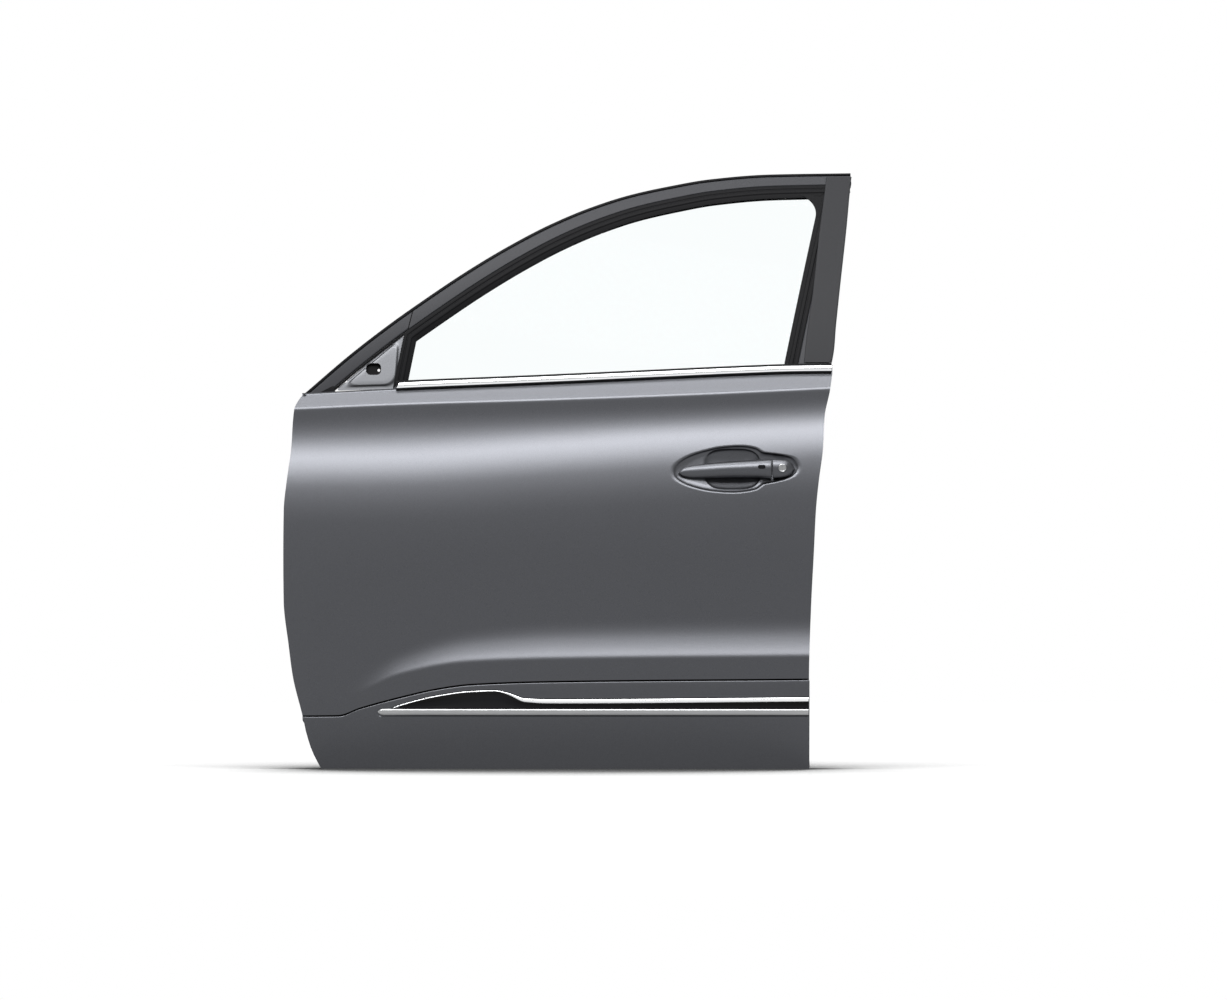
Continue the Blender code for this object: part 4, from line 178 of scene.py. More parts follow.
@dataclass(frozen=True)
class BodySide:
    """Outer surface of the body side: slopes at its feature lines, summed down from the belt."""

    turn: float = 0.022
    belt: Knots = ((300, 396), (412, 390.5), (540, 385.3), (668, 379.5), (732, 376.6), (796, 374.4),
                   (832, 374))
    crease: Knots = ((295, 408.5), (400, 404), (550, 399.5), (700, 394), (829, 388))
    peak: Knots = ((295, 458), (400, 456), (550, 446), (650, 439), (829, 429))
    zero: Knots = ((290, 604), (310, 595), (340, 576), (400, 560), (470, 552), (550, 548), (830, 548))
    scoop: Knots = ((290, 660), (345, 680), (365, 668), (400, 648), (470, 627), (550, 619), (830, 614))
    ledge: Knots = ((290, 700), (345, 699), (365, 690), (400, 674), (470, 661), (550, 658), (830, 655))
    skin_end: Knots = ((300, 714.5), (340, 714), (360, 707), (400, 696), (440, 687), (470, 683), (550, 680),
                       (810, 677.5))
    fade: Knots = ((345, 0), (365, 0.35), (400, 0.75), (470, 0.95), (550, 1))
    front: Knots = ((391, 308), (398, 301), (410, 295), (450, 292), (480, 288), (510, 285), (555, 284.6),
                    (600, 285), (645, 290), (675, 294), (716, 304), (735, 308), (750, 313), (768, 322))
    rear: Knots = ((372, 832), (392, 829), (416, 824), (450, 822), (480, 818), (510, 815), (550, 813),
                   (610, 810), (678, 808), (740, 808), (768, 809))
    slopes: tuple[float, ...] = (38, 40, 0, 1, 20, 10, 3, 0, -3, 0, 13, 19, -3, -3, -6, -11, -20)
    crease_roll: float = 2
    hollow: float = 10
    upper: float = 30
    lower: float = 66
    back: float = 25
    ledge_roll: float = 2.5
    sill: float = 717
    tuck: float = 746
    zero_line: int = 7
    end_line: int = 13
    faded_lines: tuple[int, int] = (10, 12)
    least_gap: float = 1e-6
    passes: int = 6

    def lines(self, px: Array) -> tuple[Array, Array]:
        """Pixel rows and surface slopes of the feature lines at pixel columns."""
        px = np.asarray(px, float)
        belt, crease, peak = smooth(px, self.belt), smooth(px, self.crease), smooth(px, self.peak)
        zero, scoop, ledge = smooth(px, self.zero), smooth(px, self.scoop), smooth(px, self.ledge)
        end, fade = smooth(px, self.skin_end), smooth(px, self.fade)
        level = 0 * px
        rows = np.stack([belt, crease - self.crease_roll, crease + self.crease_roll,
                         crease + self.hollow, peak, peak + self.upper, peak + self.lower, zero,
                         zero + self.back, scoop, (scoop + ledge) / 2, ledge - self.ledge_roll,
                         ledge + self.ledge_roll, end, level + self.sill, level + self.tuck,
                         level + VIEW.bottom])
        weight = np.ones((len(self.slopes),) + px.shape)
        weight[slice(*self.faded_lines)] = fade
        slopes = np.tan(np.radians(self.slopes)).reshape((-1,) + (1,) * px.ndim) * weight
        return rows, slopes

    def depth(self, px: Array, py: Array) -> Array:
        """Depth of the surface behind its outermost plane.

        Args:
            px: pixel columns.
            py: pixel rows.

        Returns:
            Depths in metres: the slopes, each straight from line to line, summed down from the belt.
        """
        px, py = np.broadcast_arrays(np.asarray(px, float), np.asarray(py, float))
        rows, slopes = self.lines(px)
        height = VIEW.height / (VIEW.bottom - VIEW.top)
        depth, level = np.zeros(px.shape), np.zeros(px.shape)
        for i in range(len(rows) - 1):
            gap = np.maximum(rows[i + 1] - rows[i], self.least_gap)
            t = np.clip((py - rows[i]) / gap, 0, 1)
            change = slopes[i + 1] - slopes[i]
            depth -= gap * height * (t * slopes[i] + t * t / 2 * change)
            if i < self.zero_line:
                level -= gap * height * (slopes[i] + change / 2)
        share = (px - VIEW.left) / (smooth(self.sill, self.rear) - VIEW.left)
        return depth - level + self.turn * (1 - np.clip(share, 0, 1)) ** 2

    def place(self, px: Array, py: Array, behind: Array = 0.0) -> Array:
        """World points a distance behind the surface."""
        return VIEW.points(px, py, self.depth(px, py) + behind)

    def cells(self, rows: Array, shares: Array, offsets: Array) -> tuple[Array, Array]:
        """Pixel grid whose rows follow feature lines and whose columns run between the edges.

        Args:
            rows: line numbers with a fraction to the next line.
            shares: shares of the length between the front and the rear edge.
            offsets: pixels beyond each share.

        Returns:
            Pixel columns and rows of the grid.
        """
        rows = np.array(rows, float)[:, None]
        whole = np.minimum(rows.astype(int), len(self.slopes) - 2)
        py = 0 * rows + 0 * shares + (self.belt[0][1] + VIEW.bottom) / 2
        for _ in range(self.passes):
            front = smooth(py, self.front)
            px = front + shares * (smooth(py, self.rear) - front) + offsets
            lines = self.lines(px)[0]
            low = np.take_along_axis(lines, np.broadcast_to(whole, px.shape)[None], 0)[0]
            high = np.take_along_axis(lines, np.broadcast_to(whole + 1, px.shape)[None], 0)[0]
            py = low + (rows - whole) * (high - low)
        return px, py


SIDE = BodySide()


class GlassDrum:
    """The drum that the window is cut from, with places on it as (along, around, out)."""

    radius: float = 1.30
    tilt: float = 10
    rake: float = 11
    toe: float = 3
    belt_depth: float = 0.090
    belt_px: tuple[float, float] = (594, 384.5)

    def __init__(self) -> None:
        """Find the drum's axis and centre from its rake, toe-in and tilt at the belt."""
        rake, toe, tilt = (math.radians(a) for a in (self.rake, self.toe, self.tilt))
        level = math.cos(rake)
        self.axis = np.array([level * math.cos(toe), -level * math.sin(toe), -math.sin(rake)])
        out = np.array([0, -1.0, 0])
        out -= out @ self.axis * self.axis
        self.out = out / np.linalg.norm(out)
        self.up = np.cross(self.out, self.axis)
        normal = math.cos(tilt) * self.out + math.sin(tilt) * self.up
        self.centre = VIEW.points(*self.belt_px, self.belt_depth) - self.radius * normal

    def place(self, along: Array, around: Array, out: Array = 0.0) -> Array:
        """World points of drum places: centre, plus along the axis, plus the radius turned by around."""
        along, around, out = np.broadcast_arrays(np.asarray(along, float), around, out)
        turn = around / self.radius
        radial = np.cos(turn)[..., None] * self.out + np.sin(turn)[..., None] * self.up
        return self.centre + along[..., None] * self.axis + (self.radius + out)[..., None] * radial

    def world_y(self, x: Array, z: Array, out: Array = 0.0) -> Array:
        """World y of the drum's outboard face at x and z: the nearer root of its quadratic."""
        a = self.axis
        dx, dz = x - self.centre[0], z - self.centre[2]
        k = dx * a[0] + dz * a[2]
        q = 1 - a[1] ** 2
        room = dx ** 2 + dz ** 2 - k * k - (self.radius + out) ** 2
        return self.centre[1] + (2 * k * a[1] - np.sqrt(4 * k * k * a[1] ** 2 - 4 * q * room)) / (2 * q)

    def at_pixel(self, px: Array, py: Array, out: Array = 0.0) -> tuple[Array, Array]:
        """Drum places (along, around) seen at pixels."""
        x, z = VIEW.across(px), VIEW.up(py)
        rel = np.stack([x, self.world_y(x, z, out), z], axis=-1) - self.centre
        return rel @ self.axis, self.radius * np.arctan2(rel @ self.up, rel @ self.out)


DRUM = GlassDrum()


@dataclass(frozen=True)
class Finish:
    """A surface finish: a Principled shader with grain from noise on Object coordinates.

    The grain lightens and darkens the colour by its tone share and lifts the surface by its bump.
    """

    name: str
    colour: tuple[float, float, float]
    roughness: float = 0.5
    metallic: float = 0.0
    coat: float = 0.0
    coat_roughness: float = 0.03
    specular: float = 0.5
    grain: float = 300.0
    stretch: tuple[float, float, float] = (1, 1, 1)
    tone: float = 0.1
    bump: float = 0.0
    wear: float = 0.0
    ior: float = 1.5
    clear: bool = False
    tone_band: tuple[float, float] = (0.3, 0.7)
    detail: float = 2
    wear_scale: float = 9
    wear_detail: float = 4

    def material(self) -> bpy.types.Material:
        """The finish's material, made once."""
        known = bpy.data.materials.get("finish_" + self.name)
        if known:
            return known
        material = bpy.data.materials.new("finish_" + self.name)
        material.use_nodes = True
        tree = material.node_tree
        shader = tree.nodes["Principled BSDF"]
        values = {"Roughness": self.roughness, "Metallic": self.metallic,
                  "Coat Weight": self.coat, "Coat Roughness": self.coat_roughness,
                  "Specular IOR Level": self.specular, "IOR": self.ior,
                  "Transmission Weight": 1.0 if self.clear else 0.0}
        for socket, value in values.items():
            shader.inputs[socket].default_value = value
        place = tree.nodes.new("ShaderNodeTexCoord")
        mapping = tree.nodes.new("ShaderNodeMapping")
        mapping.inputs["Scale"].default_value = self.stretch
        grain = tree.nodes.new("ShaderNodeTexNoise")
        grain.inputs["Scale"].default_value = self.grain
        grain.inputs["Detail"].default_value = self.detail
        tree.links.new(place.outputs["Object"], mapping.inputs["Vector"])
        tree.links.new(mapping.outputs["Vector"], grain.inputs["Vector"])
        tones = tree.nodes.new("ShaderNodeValToRGB")
        for element, spot, sign in zip(tones.color_ramp.elements, self.tone_band, (-1, 1)):
            element.position = spot
            element.color = (*(c * (1 + sign * self.tone) for c in self.colour), 1)
        tree.links.new(grain.outputs["Fac"], tones.inputs["Fac"])
        colour = tones.outputs["Color"]
        if self.wear:
            broad = tree.nodes.new("ShaderNodeTexNoise")
            broad.inputs["Scale"].default_value = self.wear_scale
            broad.inputs["Detail"].default_value = self.wear_detail
            tree.links.new(place.outputs["Object"], broad.inputs["Vector"])
            mixed = tree.nodes.new("ShaderNodeMix")
            mixed.data_type = "RGBA"
            mixed.blend_type = "MULTIPLY"
            mixed.inputs["Factor"].default_value = self.wear
            tree.links.new(colour, mixed.inputs["A"])
            tree.links.new(broad.outputs["Color"], mixed.inputs["B"])
            colour = mixed.outputs["Result"]
        tree.links.new(colour, shader.inputs["Base Color"])
        if self.bump:
            relief = tree.nodes.new("ShaderNodeBump")
            relief.inputs["Strength"].default_value = 1.0
            relief.inputs["Distance"].default_value = self.bump
            tree.links.new(grain.outputs["Fac"], relief.inputs["Height"])
            tree.links.new(relief.outputs["Normal"], shader.inputs["Normal"])
        return material


PAINT = Finish("metallic_paint", (0.074, 0.076, 0.083), 0.37, 1.0, coat=0.06, coat_roughness=0.22, grain=1500,
               tone=0.2, bump=0.000008)
FRAME_PAINT = Finish("frame_paint", (0.025, 0.0255, 0.0285), 0.5, specular=0.14, grain=900, tone=0.08)
PRIMER = Finish("primer", (0.115, 0.117, 0.122), 0.52, 0.35, specular=0.4, grain=420, tone=0.10, bump=0.00002,
                wear=0.25)
BARE = Finish("bare_plate", (0.115, 0.118, 0.126), 0.46, 0.8, grain=500, tone=0.05, bump=0.00001)
KEY_METAL = Finish("key_metal", (0.32, 0.325, 0.33), 0.3, 1.0, grain=500, tone=0.05)
CHROME = Finish("chrome", (0.82, 0.83, 0.84), 0.06, 1.0, grain=40, tone=0.01)
SATIN = Finish("satin_metal", (0.33, 0.335, 0.34), 0.34, 1.0, grain=900, stretch=(0.03, 1, 1), tone=0.08)
APPLIQUE = Finish("satin_applique", (0.016, 0.0163, 0.018), 0.5, specular=0.1, grain=800, tone=0.08)
RUBBER = Finish("rubber", (0.004, 0.004, 0.0045), 0.55, specular=0.06, grain=700, tone=0.15)
GLOSS_BLACK = Finish("gloss_black", (0.004, 0.004, 0.005), 0.1, specular=0.14, grain=60, tone=0.05)
PLASTIC = Finish("black_plastic", (0.012, 0.012, 0.013), 0.5, specular=0.2, grain=1100, tone=0.12)
ZINC = Finish("zinc", (0.40, 0.40, 0.385), 0.36, 0.95, grain=160, tone=0.14, bump=0.00001, wear=0.25)
GLASS = Finish("glass", (0.955, 0.985, 0.985), 0.0, ior=1.04, grain=3, tone=0.002, clear=True)


class Patchwork:
    """Grids of points gathered into one mesh and welded where they meet."""

    weld: float = 0.00001

    def __init__(self) -> None:
        """Start without points."""
        self.points: list[Array] = []
        self.faces: list[list[int]] = []
        self.count = 0

    def grid(self, grid: Array, ring: bool = False, keep: Array | None = None) -> "Patchwork":
        """Add four-sided faces between neighbours of a grid.

        Args:
            grid: points as (rows, columns, 3).
            ring: whether the last column meets the first.
            keep: which cells to make, or all.

        Returns:
            This patchwork.
        """
        rows, columns = grid.shape[:2]
        index = np.arange(rows * columns).reshape(rows, columns) + self.count
        if ring:
            index = np.concatenate([index, index[:, :1]], axis=1)
        cells = np.stack([index[:-1, :-1], index[:-1, 1:], index[1:, 1:], index[1:, :-1]], axis=-1)
        cells = cells[keep] if keep is not None else cells.reshape(-1, 4)
        self.points.append(grid.reshape(-1, 3))
        self.faces += cells.tolist()
        self.count += rows * columns
        return self

    def cap(self, loop: Array) -> "Patchwork":
        """Close a loop with triangles to its middle."""
        fan = np.stack([loop, np.broadcast_to(loop.mean(axis=0), loop.shape)])
        return self.grid(fan, ring=True)

    def flat_cap(self, loop: Array) -> "Patchwork":
        """Close a loop that has a groove in it with one face."""
        self.points.append(np.array(loop))
        self.faces.append(list(range(self.count, self.count + len(loop))))
        self.count += len(loop)
        return self

    def data(self, name: str, outward: tuple[float, float, float] | None) -> bpy.types.Mesh:
        """The welded mesh, with its faces turned outward."""
        data = bpy.data.meshes.new(name)
        data.from_pydata(np.concatenate(self.points).tolist(), [], self.faces)
        work = bmesh.new()
        work.from_mesh(data)
        bmesh.ops.remove_doubles(work, verts=work.verts, dist=self.weld)
        loose = [v for v in work.verts if not v.link_faces]
        bmesh.ops.delete(work, geom=loose, context="VERTS")
        bmesh.ops.recalc_face_normals(work, faces=work.faces)
        if outward:
            lean = sum((f.normal * f.calc_area() for f in work.faces), Vector())
            if lean.dot(Vector(outward)) < 0:
                bmesh.ops.reverse_faces(work, faces=work.faces)
        work.to_mesh(data)
        work.free()
        return data


@dataclass
class Piece:
    """One finished piece: its mesh, what it stands for, what it rides on and its finish."""

    name: str
    patches: Patchwork
    finish: Finish
    slot: Slot
    body: Body = Body.DOOR
    nodes: tuple[str, ...] = ()
    wall: float = 0.0
    outward: tuple[float, float, float] | None = None
    offset: float = -1
    sharp: float = 32.0
    cutters: list[bpy.types.Object] = field(default_factory=list)
    added: list[bpy.types.Object] = field(default_factory=list)

    def make(self) -> bpy.types.Object:
        """Put the piece into the scene with its wall, joined bodies, cut holes, finish and frame links."""
        data = self.patches.data(self.name, self.outward)
        item = bpy.data.objects.new(self.name, data)
        bpy.context.scene.collection.objects.link(item)
        if self.wall:
            wall = item.modifiers.new("wall", "SOLIDIFY")
            wall.thickness = self.wall
            wall.offset = self.offset
            wall.use_even_offset = True
        for kind, bodies in (("UNION", self.added), ("DIFFERENCE", self.cutters)):
            for body in bodies:
                step = item.modifiers.new(kind.lower(), "BOOLEAN")
                step.operation = kind
                step.solver = "MANIFOLD"
                step.object = body
        graph = bpy.context.evaluated_depsgraph_get()
        final = bpy.data.meshes.new_from_object(item.evaluated_get(graph))
        item.modifiers.clear()
        item.data = final
        for body in self.added + self.cutters:
            bpy.data.objects.remove(body, do_unlink=True)
        final.materials.clear()
        final.materials.append(self.finish.material())
        final.polygons.foreach_set("material_index", np.zeros(len(final.polygons), dtype=np.int32))
        final.polygons.foreach_set("use_smooth", np.ones(len(final.polygons), dtype=bool))
        final.set_sharp_from_angle(angle=math.radians(self.sharp))
        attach(item, self.body.value)
        if self.nodes:
            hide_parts(*self.nodes)
        log.info("%s: %d faces on %s", self.name, len(final.polygons), self.body.value)
        return item


def loft(loops: Array) -> Patchwork:
    """Closed body through closed sections, with a fan on each end."""
    return Patchwork().grid(loops, ring=True).cap(loops[0]).cap(loops[-1])


def plain_body(patches: Patchwork) -> bpy.types.Object:
    """Closed body without a finish, which is joined to a piece or cut from one."""
    item = bpy.data.objects.new("plain_body", patches.data("plain_body", None))
    bpy.context.scene.collection.objects.link(item)
    return item


def prism(outline: Array, start: Array, axis: Array, length: float,
          upright: Array = (0, 0, 1)) -> bpy.types.Object:
    """Straight cutter: an outline in the plane across the axis, carried along it both ways.

    Args:
        outline: (across, up) points.
        start: middle of the cutter.
        axis: its direction.
        length: its whole length.
        upright: direction close to the outline's up.

    Returns:
        A closed object without a finish.
    """
    z = Vector(axis).normalized()
    x = Vector(upright).cross(z).normalized()
    turn = np.array(Matrix((x, z.cross(x), z)).transposed())
    flat = outline @ turn[:, :2].T + np.asarray(start)
    loops = np.stack([flat - np.array(z) * length / 2, flat + np.array(z) * length / 2])
    return plain_body(loft(loops))


def circle(radius: float, steps: int = 48) -> Array:
    """Points of a circle as (across, up)."""
    turn = np.linspace(0, 2 * math.pi, steps, endpoint=False)
    return radius * np.stack([np.cos(turn), np.sin(turn)], axis=-1)


def round_box(width: float, height: float, radius: float, steps: int = 8) -> Array:
    """Points of a rectangle with round corners as (across, up): a circle pushed out to the four corners."""
    turn = np.linspace(0, math.pi / 2, steps)[None] + np.arange(4)[:, None] * math.pi / 2
    signs = np.array([(1, 1), (-1, 1), (-1, -1), (1, -1)])[:, None]
    centre = signs * np.array([width / 2 - radius, height / 2 - radius])
    return (centre + radius * np.stack([np.cos(turn), np.sin(turn)], axis=-1)).reshape(-1, 2)


def round_corners(section: Array, reach: Array, closed: bool, steps: int = 5, most: float = 0.45) -> Array:
    """Sections whose corners are eased by parabolas that start a reach before each corner.

    A curve takes less than half of the edge on each side of its corner.

    Args:
        section: corners as (stations, corners, 2).
        reach: how far each corner's curve goes, at most.
        closed: whether the last corner joins the first.
        steps: points of each curve.
        most: largest share of an edge that a curve takes.

    Returns:
        Points as (stations, corners x steps, 2).
    """
    def toward(other: Array) -> Array:
        """Start of a corner's curve on the side of another corner."""
        way = other - section
        size = np.linalg.norm(way, axis=-1, keepdims=True)
        return section + way / np.maximum(size, TINY) * np.minimum(reach, size * most)

    first, last = toward(np.roll(section, 1, axis=1)), toward(np.roll(section, -1, axis=1))
    if not closed:
        first[:, 0], last[:, 0] = section[:, 0], section[:, 0]
        first[:, -1], last[:, -1] = section[:, -1], section[:, -1]
    t = np.linspace(0, 1, steps)[:, None]
    corners = section[:, :, None]
    curve = first[:, :, None] * (1 - t) ** 2 + 2 * corners * t * (1 - t) + last[:, :, None] * t * t
    return curve.reshape(len(section), -1, 2)


def rounded_sections(corners: tuple[tuple[Array, Array], ...], reach: float, closed: bool,
                     steps: int = 5) -> Array:
    """One section per station through pairs of corner values, with its corners rounded."""
    sections = np.stack([np.stack(pair, axis=-1) for pair in corners], axis=1)
    return round_corners(sections, reach, closed, steps)


def square(side: float) -> Array:
    """Corners of a square as (across, up)."""
    return side * np.array([(-0.5, -0.5), (0.5, -0.5), (0.5, 0.5), (-0.5, 0.5)])


@dataclass
class HandleDish:
    """Dish pressed into the skin behind the handle, with a deeper pocket for the fingers."""

    centre: tuple[float, float] = (735, 469.5)
    upper: Knots = ((673, 472), (676, 464.5), (684, 458.5), (694, 454), (704, 451), (719, 447.6),
                    (734, 446.3), (744, 446.3), (754, 448), (763, 452.6), (774, 454), (784, 455.5),
                    (792, 458), (796.3, 463), (797.6, 468.5))
    lower: Knots = ((673, 472), (676, 479), (684, 484), (694, 487.5), (704, 490), (719, 492),
                    (734, 492.5), (744, 491.7), (754, 489.8), (764, 484), (774, 482), (784, 479.5),
                    (793, 475.3), (797.6, 468.5))
    widest_knot: int = 6
    profile: Knots = ((0, 0.0100), (0.5, 0.0094), (0.80, 0.0078), (0.90, 0.0060), (0.95, 0.0044),
                      (0.975, 0.0030), (0.992, 0.0016), (1.01, 0.0008), (1.035, 0.00022), (1.06, 0))
    pocket_centre: tuple[float, float] = (732, 469.2)
    pocket_half: tuple[float, float] = (28.5, 20.5)
    pocket_power: float = 3.2
    pocket_depth: float = 0.0091
    pocket_edge: float = 0.05
    pocket_rim: float = 0.08
    bowl_power: float = 1.3

    def reach(self, px: Array, py: Array) -> tuple[Array, Array]:
        """Points of the outline in the direction of pixel points from the middle.

        The distance to the outline is a curve of the angle, measured in half widths and half heights.
        """
        cx, cy = self.centre
        half_x = (self.upper[-1][0] - self.upper[0][0]) / 2
        half_y = (self.lower[self.widest_knot][1] - self.upper[self.widest_knot][1]) / 2
        x, y = np.array(list(self.upper) + list(self.lower[-2:0:-1]), float).T
        angle = np.arctan2((y - cy) / half_y, (x - cx) / half_x)
        out = np.hypot((x - cx) / half_x, (y - cy) / half_y)
        order = np.argsort(angle)
        angle, out = angle[order], out[order]
        turns = np.concatenate([angle - 2 * math.pi, angle, angle + 2 * math.pi])
        knots = np.stack([turns, np.tile(out, 3)], axis=1)
        at = np.arctan2((py - cy) / half_y, (px - cx) / half_x)
        r = smooth(at, knots)
        return cx + r * half_x * np.cos(at), cy + r * half_y * np.sin(at)

    def depth(self, px: Array, py: Array, share: Array) -> Array:
        """Depth behind the skin: a shallow bowl by share of the outline, and the pocket's rounded step."""
        x = np.abs(px - self.pocket_centre[0]) / self.pocket_half[0]
        y = np.abs(py - self.pocket_centre[1]) / self.pocket_half[1]
        out = (x ** self.pocket_power + y ** self.pocket_power) ** (1 / self.pocket_power)
        bowl = np.sqrt(np.clip(1 - out, 0, 1) * (1 + out)) ** self.bowl_power
        bowl *= ease((1 - out) / self.pocket_edge)
        return smooth(share, self.profile) + self.pocket_depth * bowl * ease((1.0 - share) / self.pocket_rim)


@dataclass
class OuterSkin:
    """Painted outer skin: side surface with its dish, rolled lower edge, belt flange and folded hem."""

    wall: float = 0.0008
    hem: float = 0.013
    hem_fold: float = 0.0047
    flange: float = 0.014
    flange_step: float = 0.003
    flange_front: float = 0.002
    flange_px: float = 396
    flange_run_px: float = 3
    flange_roll_shares: tuple[float, float, float] = (0, 0.35, 0.8)
    garnish_step: float = 0.011
    garnish_ramp: float = 5
    ramp_shares: tuple[float, ...] = (0.12, 0.3, 0.6, 1.0)
    clear_shares: tuple[float, ...] = (1.6, 2, 2.4, 2.8)
    floor_rows: tuple[float, ...] = (700, 717, 731, 746, 754)
    bottom_gap: float = 0.004
    cell: float = 5.5
    fine_cell: float = 2.0
    hem_clear: float = 12.0
    row_cell: float = 2.3
    ends_px: tuple[float, float] = (290.0, 818.0)
    typical_px: float = 600.0
    guide_row: int = 60
    dish: HandleDish = field(default_factory=HandleDish)
    dish_span: tuple[float, float, float, float] = (662, 808, 437, 501)
    lip_share: float = 1.06
    lip_end_share: float = 1.07
    rim_share: float = 0.9
    bowl_shares: tuple[float, float] = (0.89, 0.02)
    blend_steps: int = 6
    rim_steps: int = 24
    bowl_steps: int = 44
    leg_spots: tuple[tuple[float, float], ...] = ((687, 472), (763, 472))
    leg_hole: float = 0.017
    leg_hole_corner: float = 0.003
    key_px: tuple[float, float] = (781.5, 468)
    key_hole: float = 0.0101
    cut: float = 0.1

    def grid(self) -> tuple[Array, Array]:
        """Pixel grid of the side: rows between feature lines, columns finer at the dish."""
        lines = SIDE.lines(np.array(self.typical_px))[0]
        steps = [max(3, math.ceil((below - above) / self.row_cell)) for above, below in zip(lines, lines[1:])]
        rows = [np.linspace(i, i + 1, steps[i] + 1)[:-1] for i in range(SIDE.end_line)] + [[SIDE.end_line]]
        left, right = self.ends_px
        x0, x1 = self.dish_span[:2]
        marks = np.concatenate([
            np.linspace(left + self.hem_clear, x0, math.ceil((x0 - left) / self.cell)),
            np.linspace(x0, x1, math.ceil((x1 - x0) / self.fine_cell))[1:]])
        inner = (marks - left) / (right - left)
        shares = np.concatenate([[0, 0], inner, [1, 1]])
        offsets = np.concatenate([[0, VIEW.wide(self.hem)], 0 * inner, [-VIEW.wide(self.hem), 0]])
        px, py = SIDE.cells(np.concatenate(rows), shares, offsets)
        low = np.array([*self.floor_rows, VIEW.bottom - VIEW.tall(self.hem + self.bottom_gap),
                        VIEW.bottom - VIEW.tall(self.bottom_gap)])
        low = np.broadcast_to(low[:, None], (len(low), len(shares))).copy()
        clear = self.garnish_ramp * np.array(self.clear_shares)[:, None]
        low[:len(clear)] = np.maximum(low[:len(clear)], py[-1] + clear)
        edge = smooth(low, SIDE.front)
        low_px = edge + shares * (smooth(low, SIDE.rear) - edge) + offsets
        ramp = py[-1:] + self.garnish_ramp * np.array(self.ramp_shares)[:, None]
        return (np.concatenate([px, np.repeat(px[-1:], len(ramp), axis=0), low_px]),
                np.concatenate([py, ramp, low]))

    def depth(self, px: Array, py: Array) -> Array:
        """Depth of the skin, which rolls in behind the garnish below its visible end."""
        end = smooth(px, SIDE.skin_end)
        return SIDE.depth(px, py) + self.garnish_step * np.sqrt(np.clip((py - end) / self.garnish_ramp, 0, 1))

    def border(self, px: Array, py: Array, inset: float) -> tuple[Array, Array]:
        """Pixels of the front, bottom and rear border of a grid, moved inward by an inset."""
        right = np.concatenate([px[:-1, 0] + VIEW.wide(inset), px[-1] + 0, px[-2::-1, -1] - VIEW.wide(inset)])
        down = np.concatenate([py[:-1, 0], py[-1] - VIEW.tall(inset), py[-2::-1, -1]])
        right[len(px) - 1] += VIEW.wide(inset)
        right[len(px) - 2 + px.shape[1]] -= VIEW.wide(inset)
        return right, down

    def dish_window(self, px: Array, py: Array) -> tuple[Array, tuple[Array, Array]]:
        """Cells kept round the dish, and the grid places round the window left for it."""
        x0, x1, y0, y1 = self.dish_span
        guide = px[self.guide_row]
        middle = np.argmin(np.abs(guide - (x0 + x1) / 2))
        c0, c1 = (int(np.argmin(np.abs(guide - x))) for x in (x0, x1))
        r0, r1 = (int(np.argmin(np.abs(py[:, middle] - y))) for y in (y0, y1))
        keep = np.ones((len(px) - 1, px.shape[1] - 1), bool)
        keep[r0:r1, c0:c1] = False
        loop = ([(r0, c) for c in range(c0, c1)] + [(r, c1) for r in range(r0, r1)]
                + [(r1, c) for c in range(c1, c0, -1)] + [(r, c0) for r in range(r1, r0, -1)])
        rows, columns = np.array(loop).T
        return keep, (rows, columns)

    def dish_rings(self, wx: Array, wy: Array) -> Array:
        """Rings from the window's edge over the dish's lip down to its middle."""
        ox, oy = self.dish.reach(wx, wy)
        cx, cy = self.dish.centre
        blend = np.linspace(0, 1, self.blend_steps)[:, None]
        ex, ey = cx + (ox - cx) * self.lip_end_share, cy + (oy - cy) * self.lip_end_share
        outer_x, outer_y = wx + (ex - wx) * blend, wy + (ey - wy) * blend
        shares = np.concatenate([np.linspace(self.lip_share, self.rim_share, self.rim_steps),
                                 np.linspace(*self.bowl_shares, self.bowl_steps)])[:, None]
        inner_x, inner_y = cx + (ox - cx) * shares, cy + (oy - cy) * shares
        dip = self.dish.depth(inner_x, inner_y, shares)
        return np.concatenate([VIEW.points(outer_x, outer_y, self.depth(outer_x, outer_y)),
                               VIEW.points(inner_x, inner_y, SIDE.depth(inner_x, inner_y) + dip)])

    def belt_flange(self, px: Array, edge: Array) -> Array:
        """Flange rolled in from the top edge and turned up, low at its front end."""
        lean = np.array([0, self.flange_step, self.flange_step])
        rise = ease((px - self.flange_px) / self.flange_run_px)
        high = self.flange_front + (self.flange - self.flange_front) * rise
        lift = high[:, None] * np.array([0, 0, 1])
        return np.stack([edge, edge + lean * np.array(self.flange_roll_shares), edge + lean,
                         edge + lean + lift])

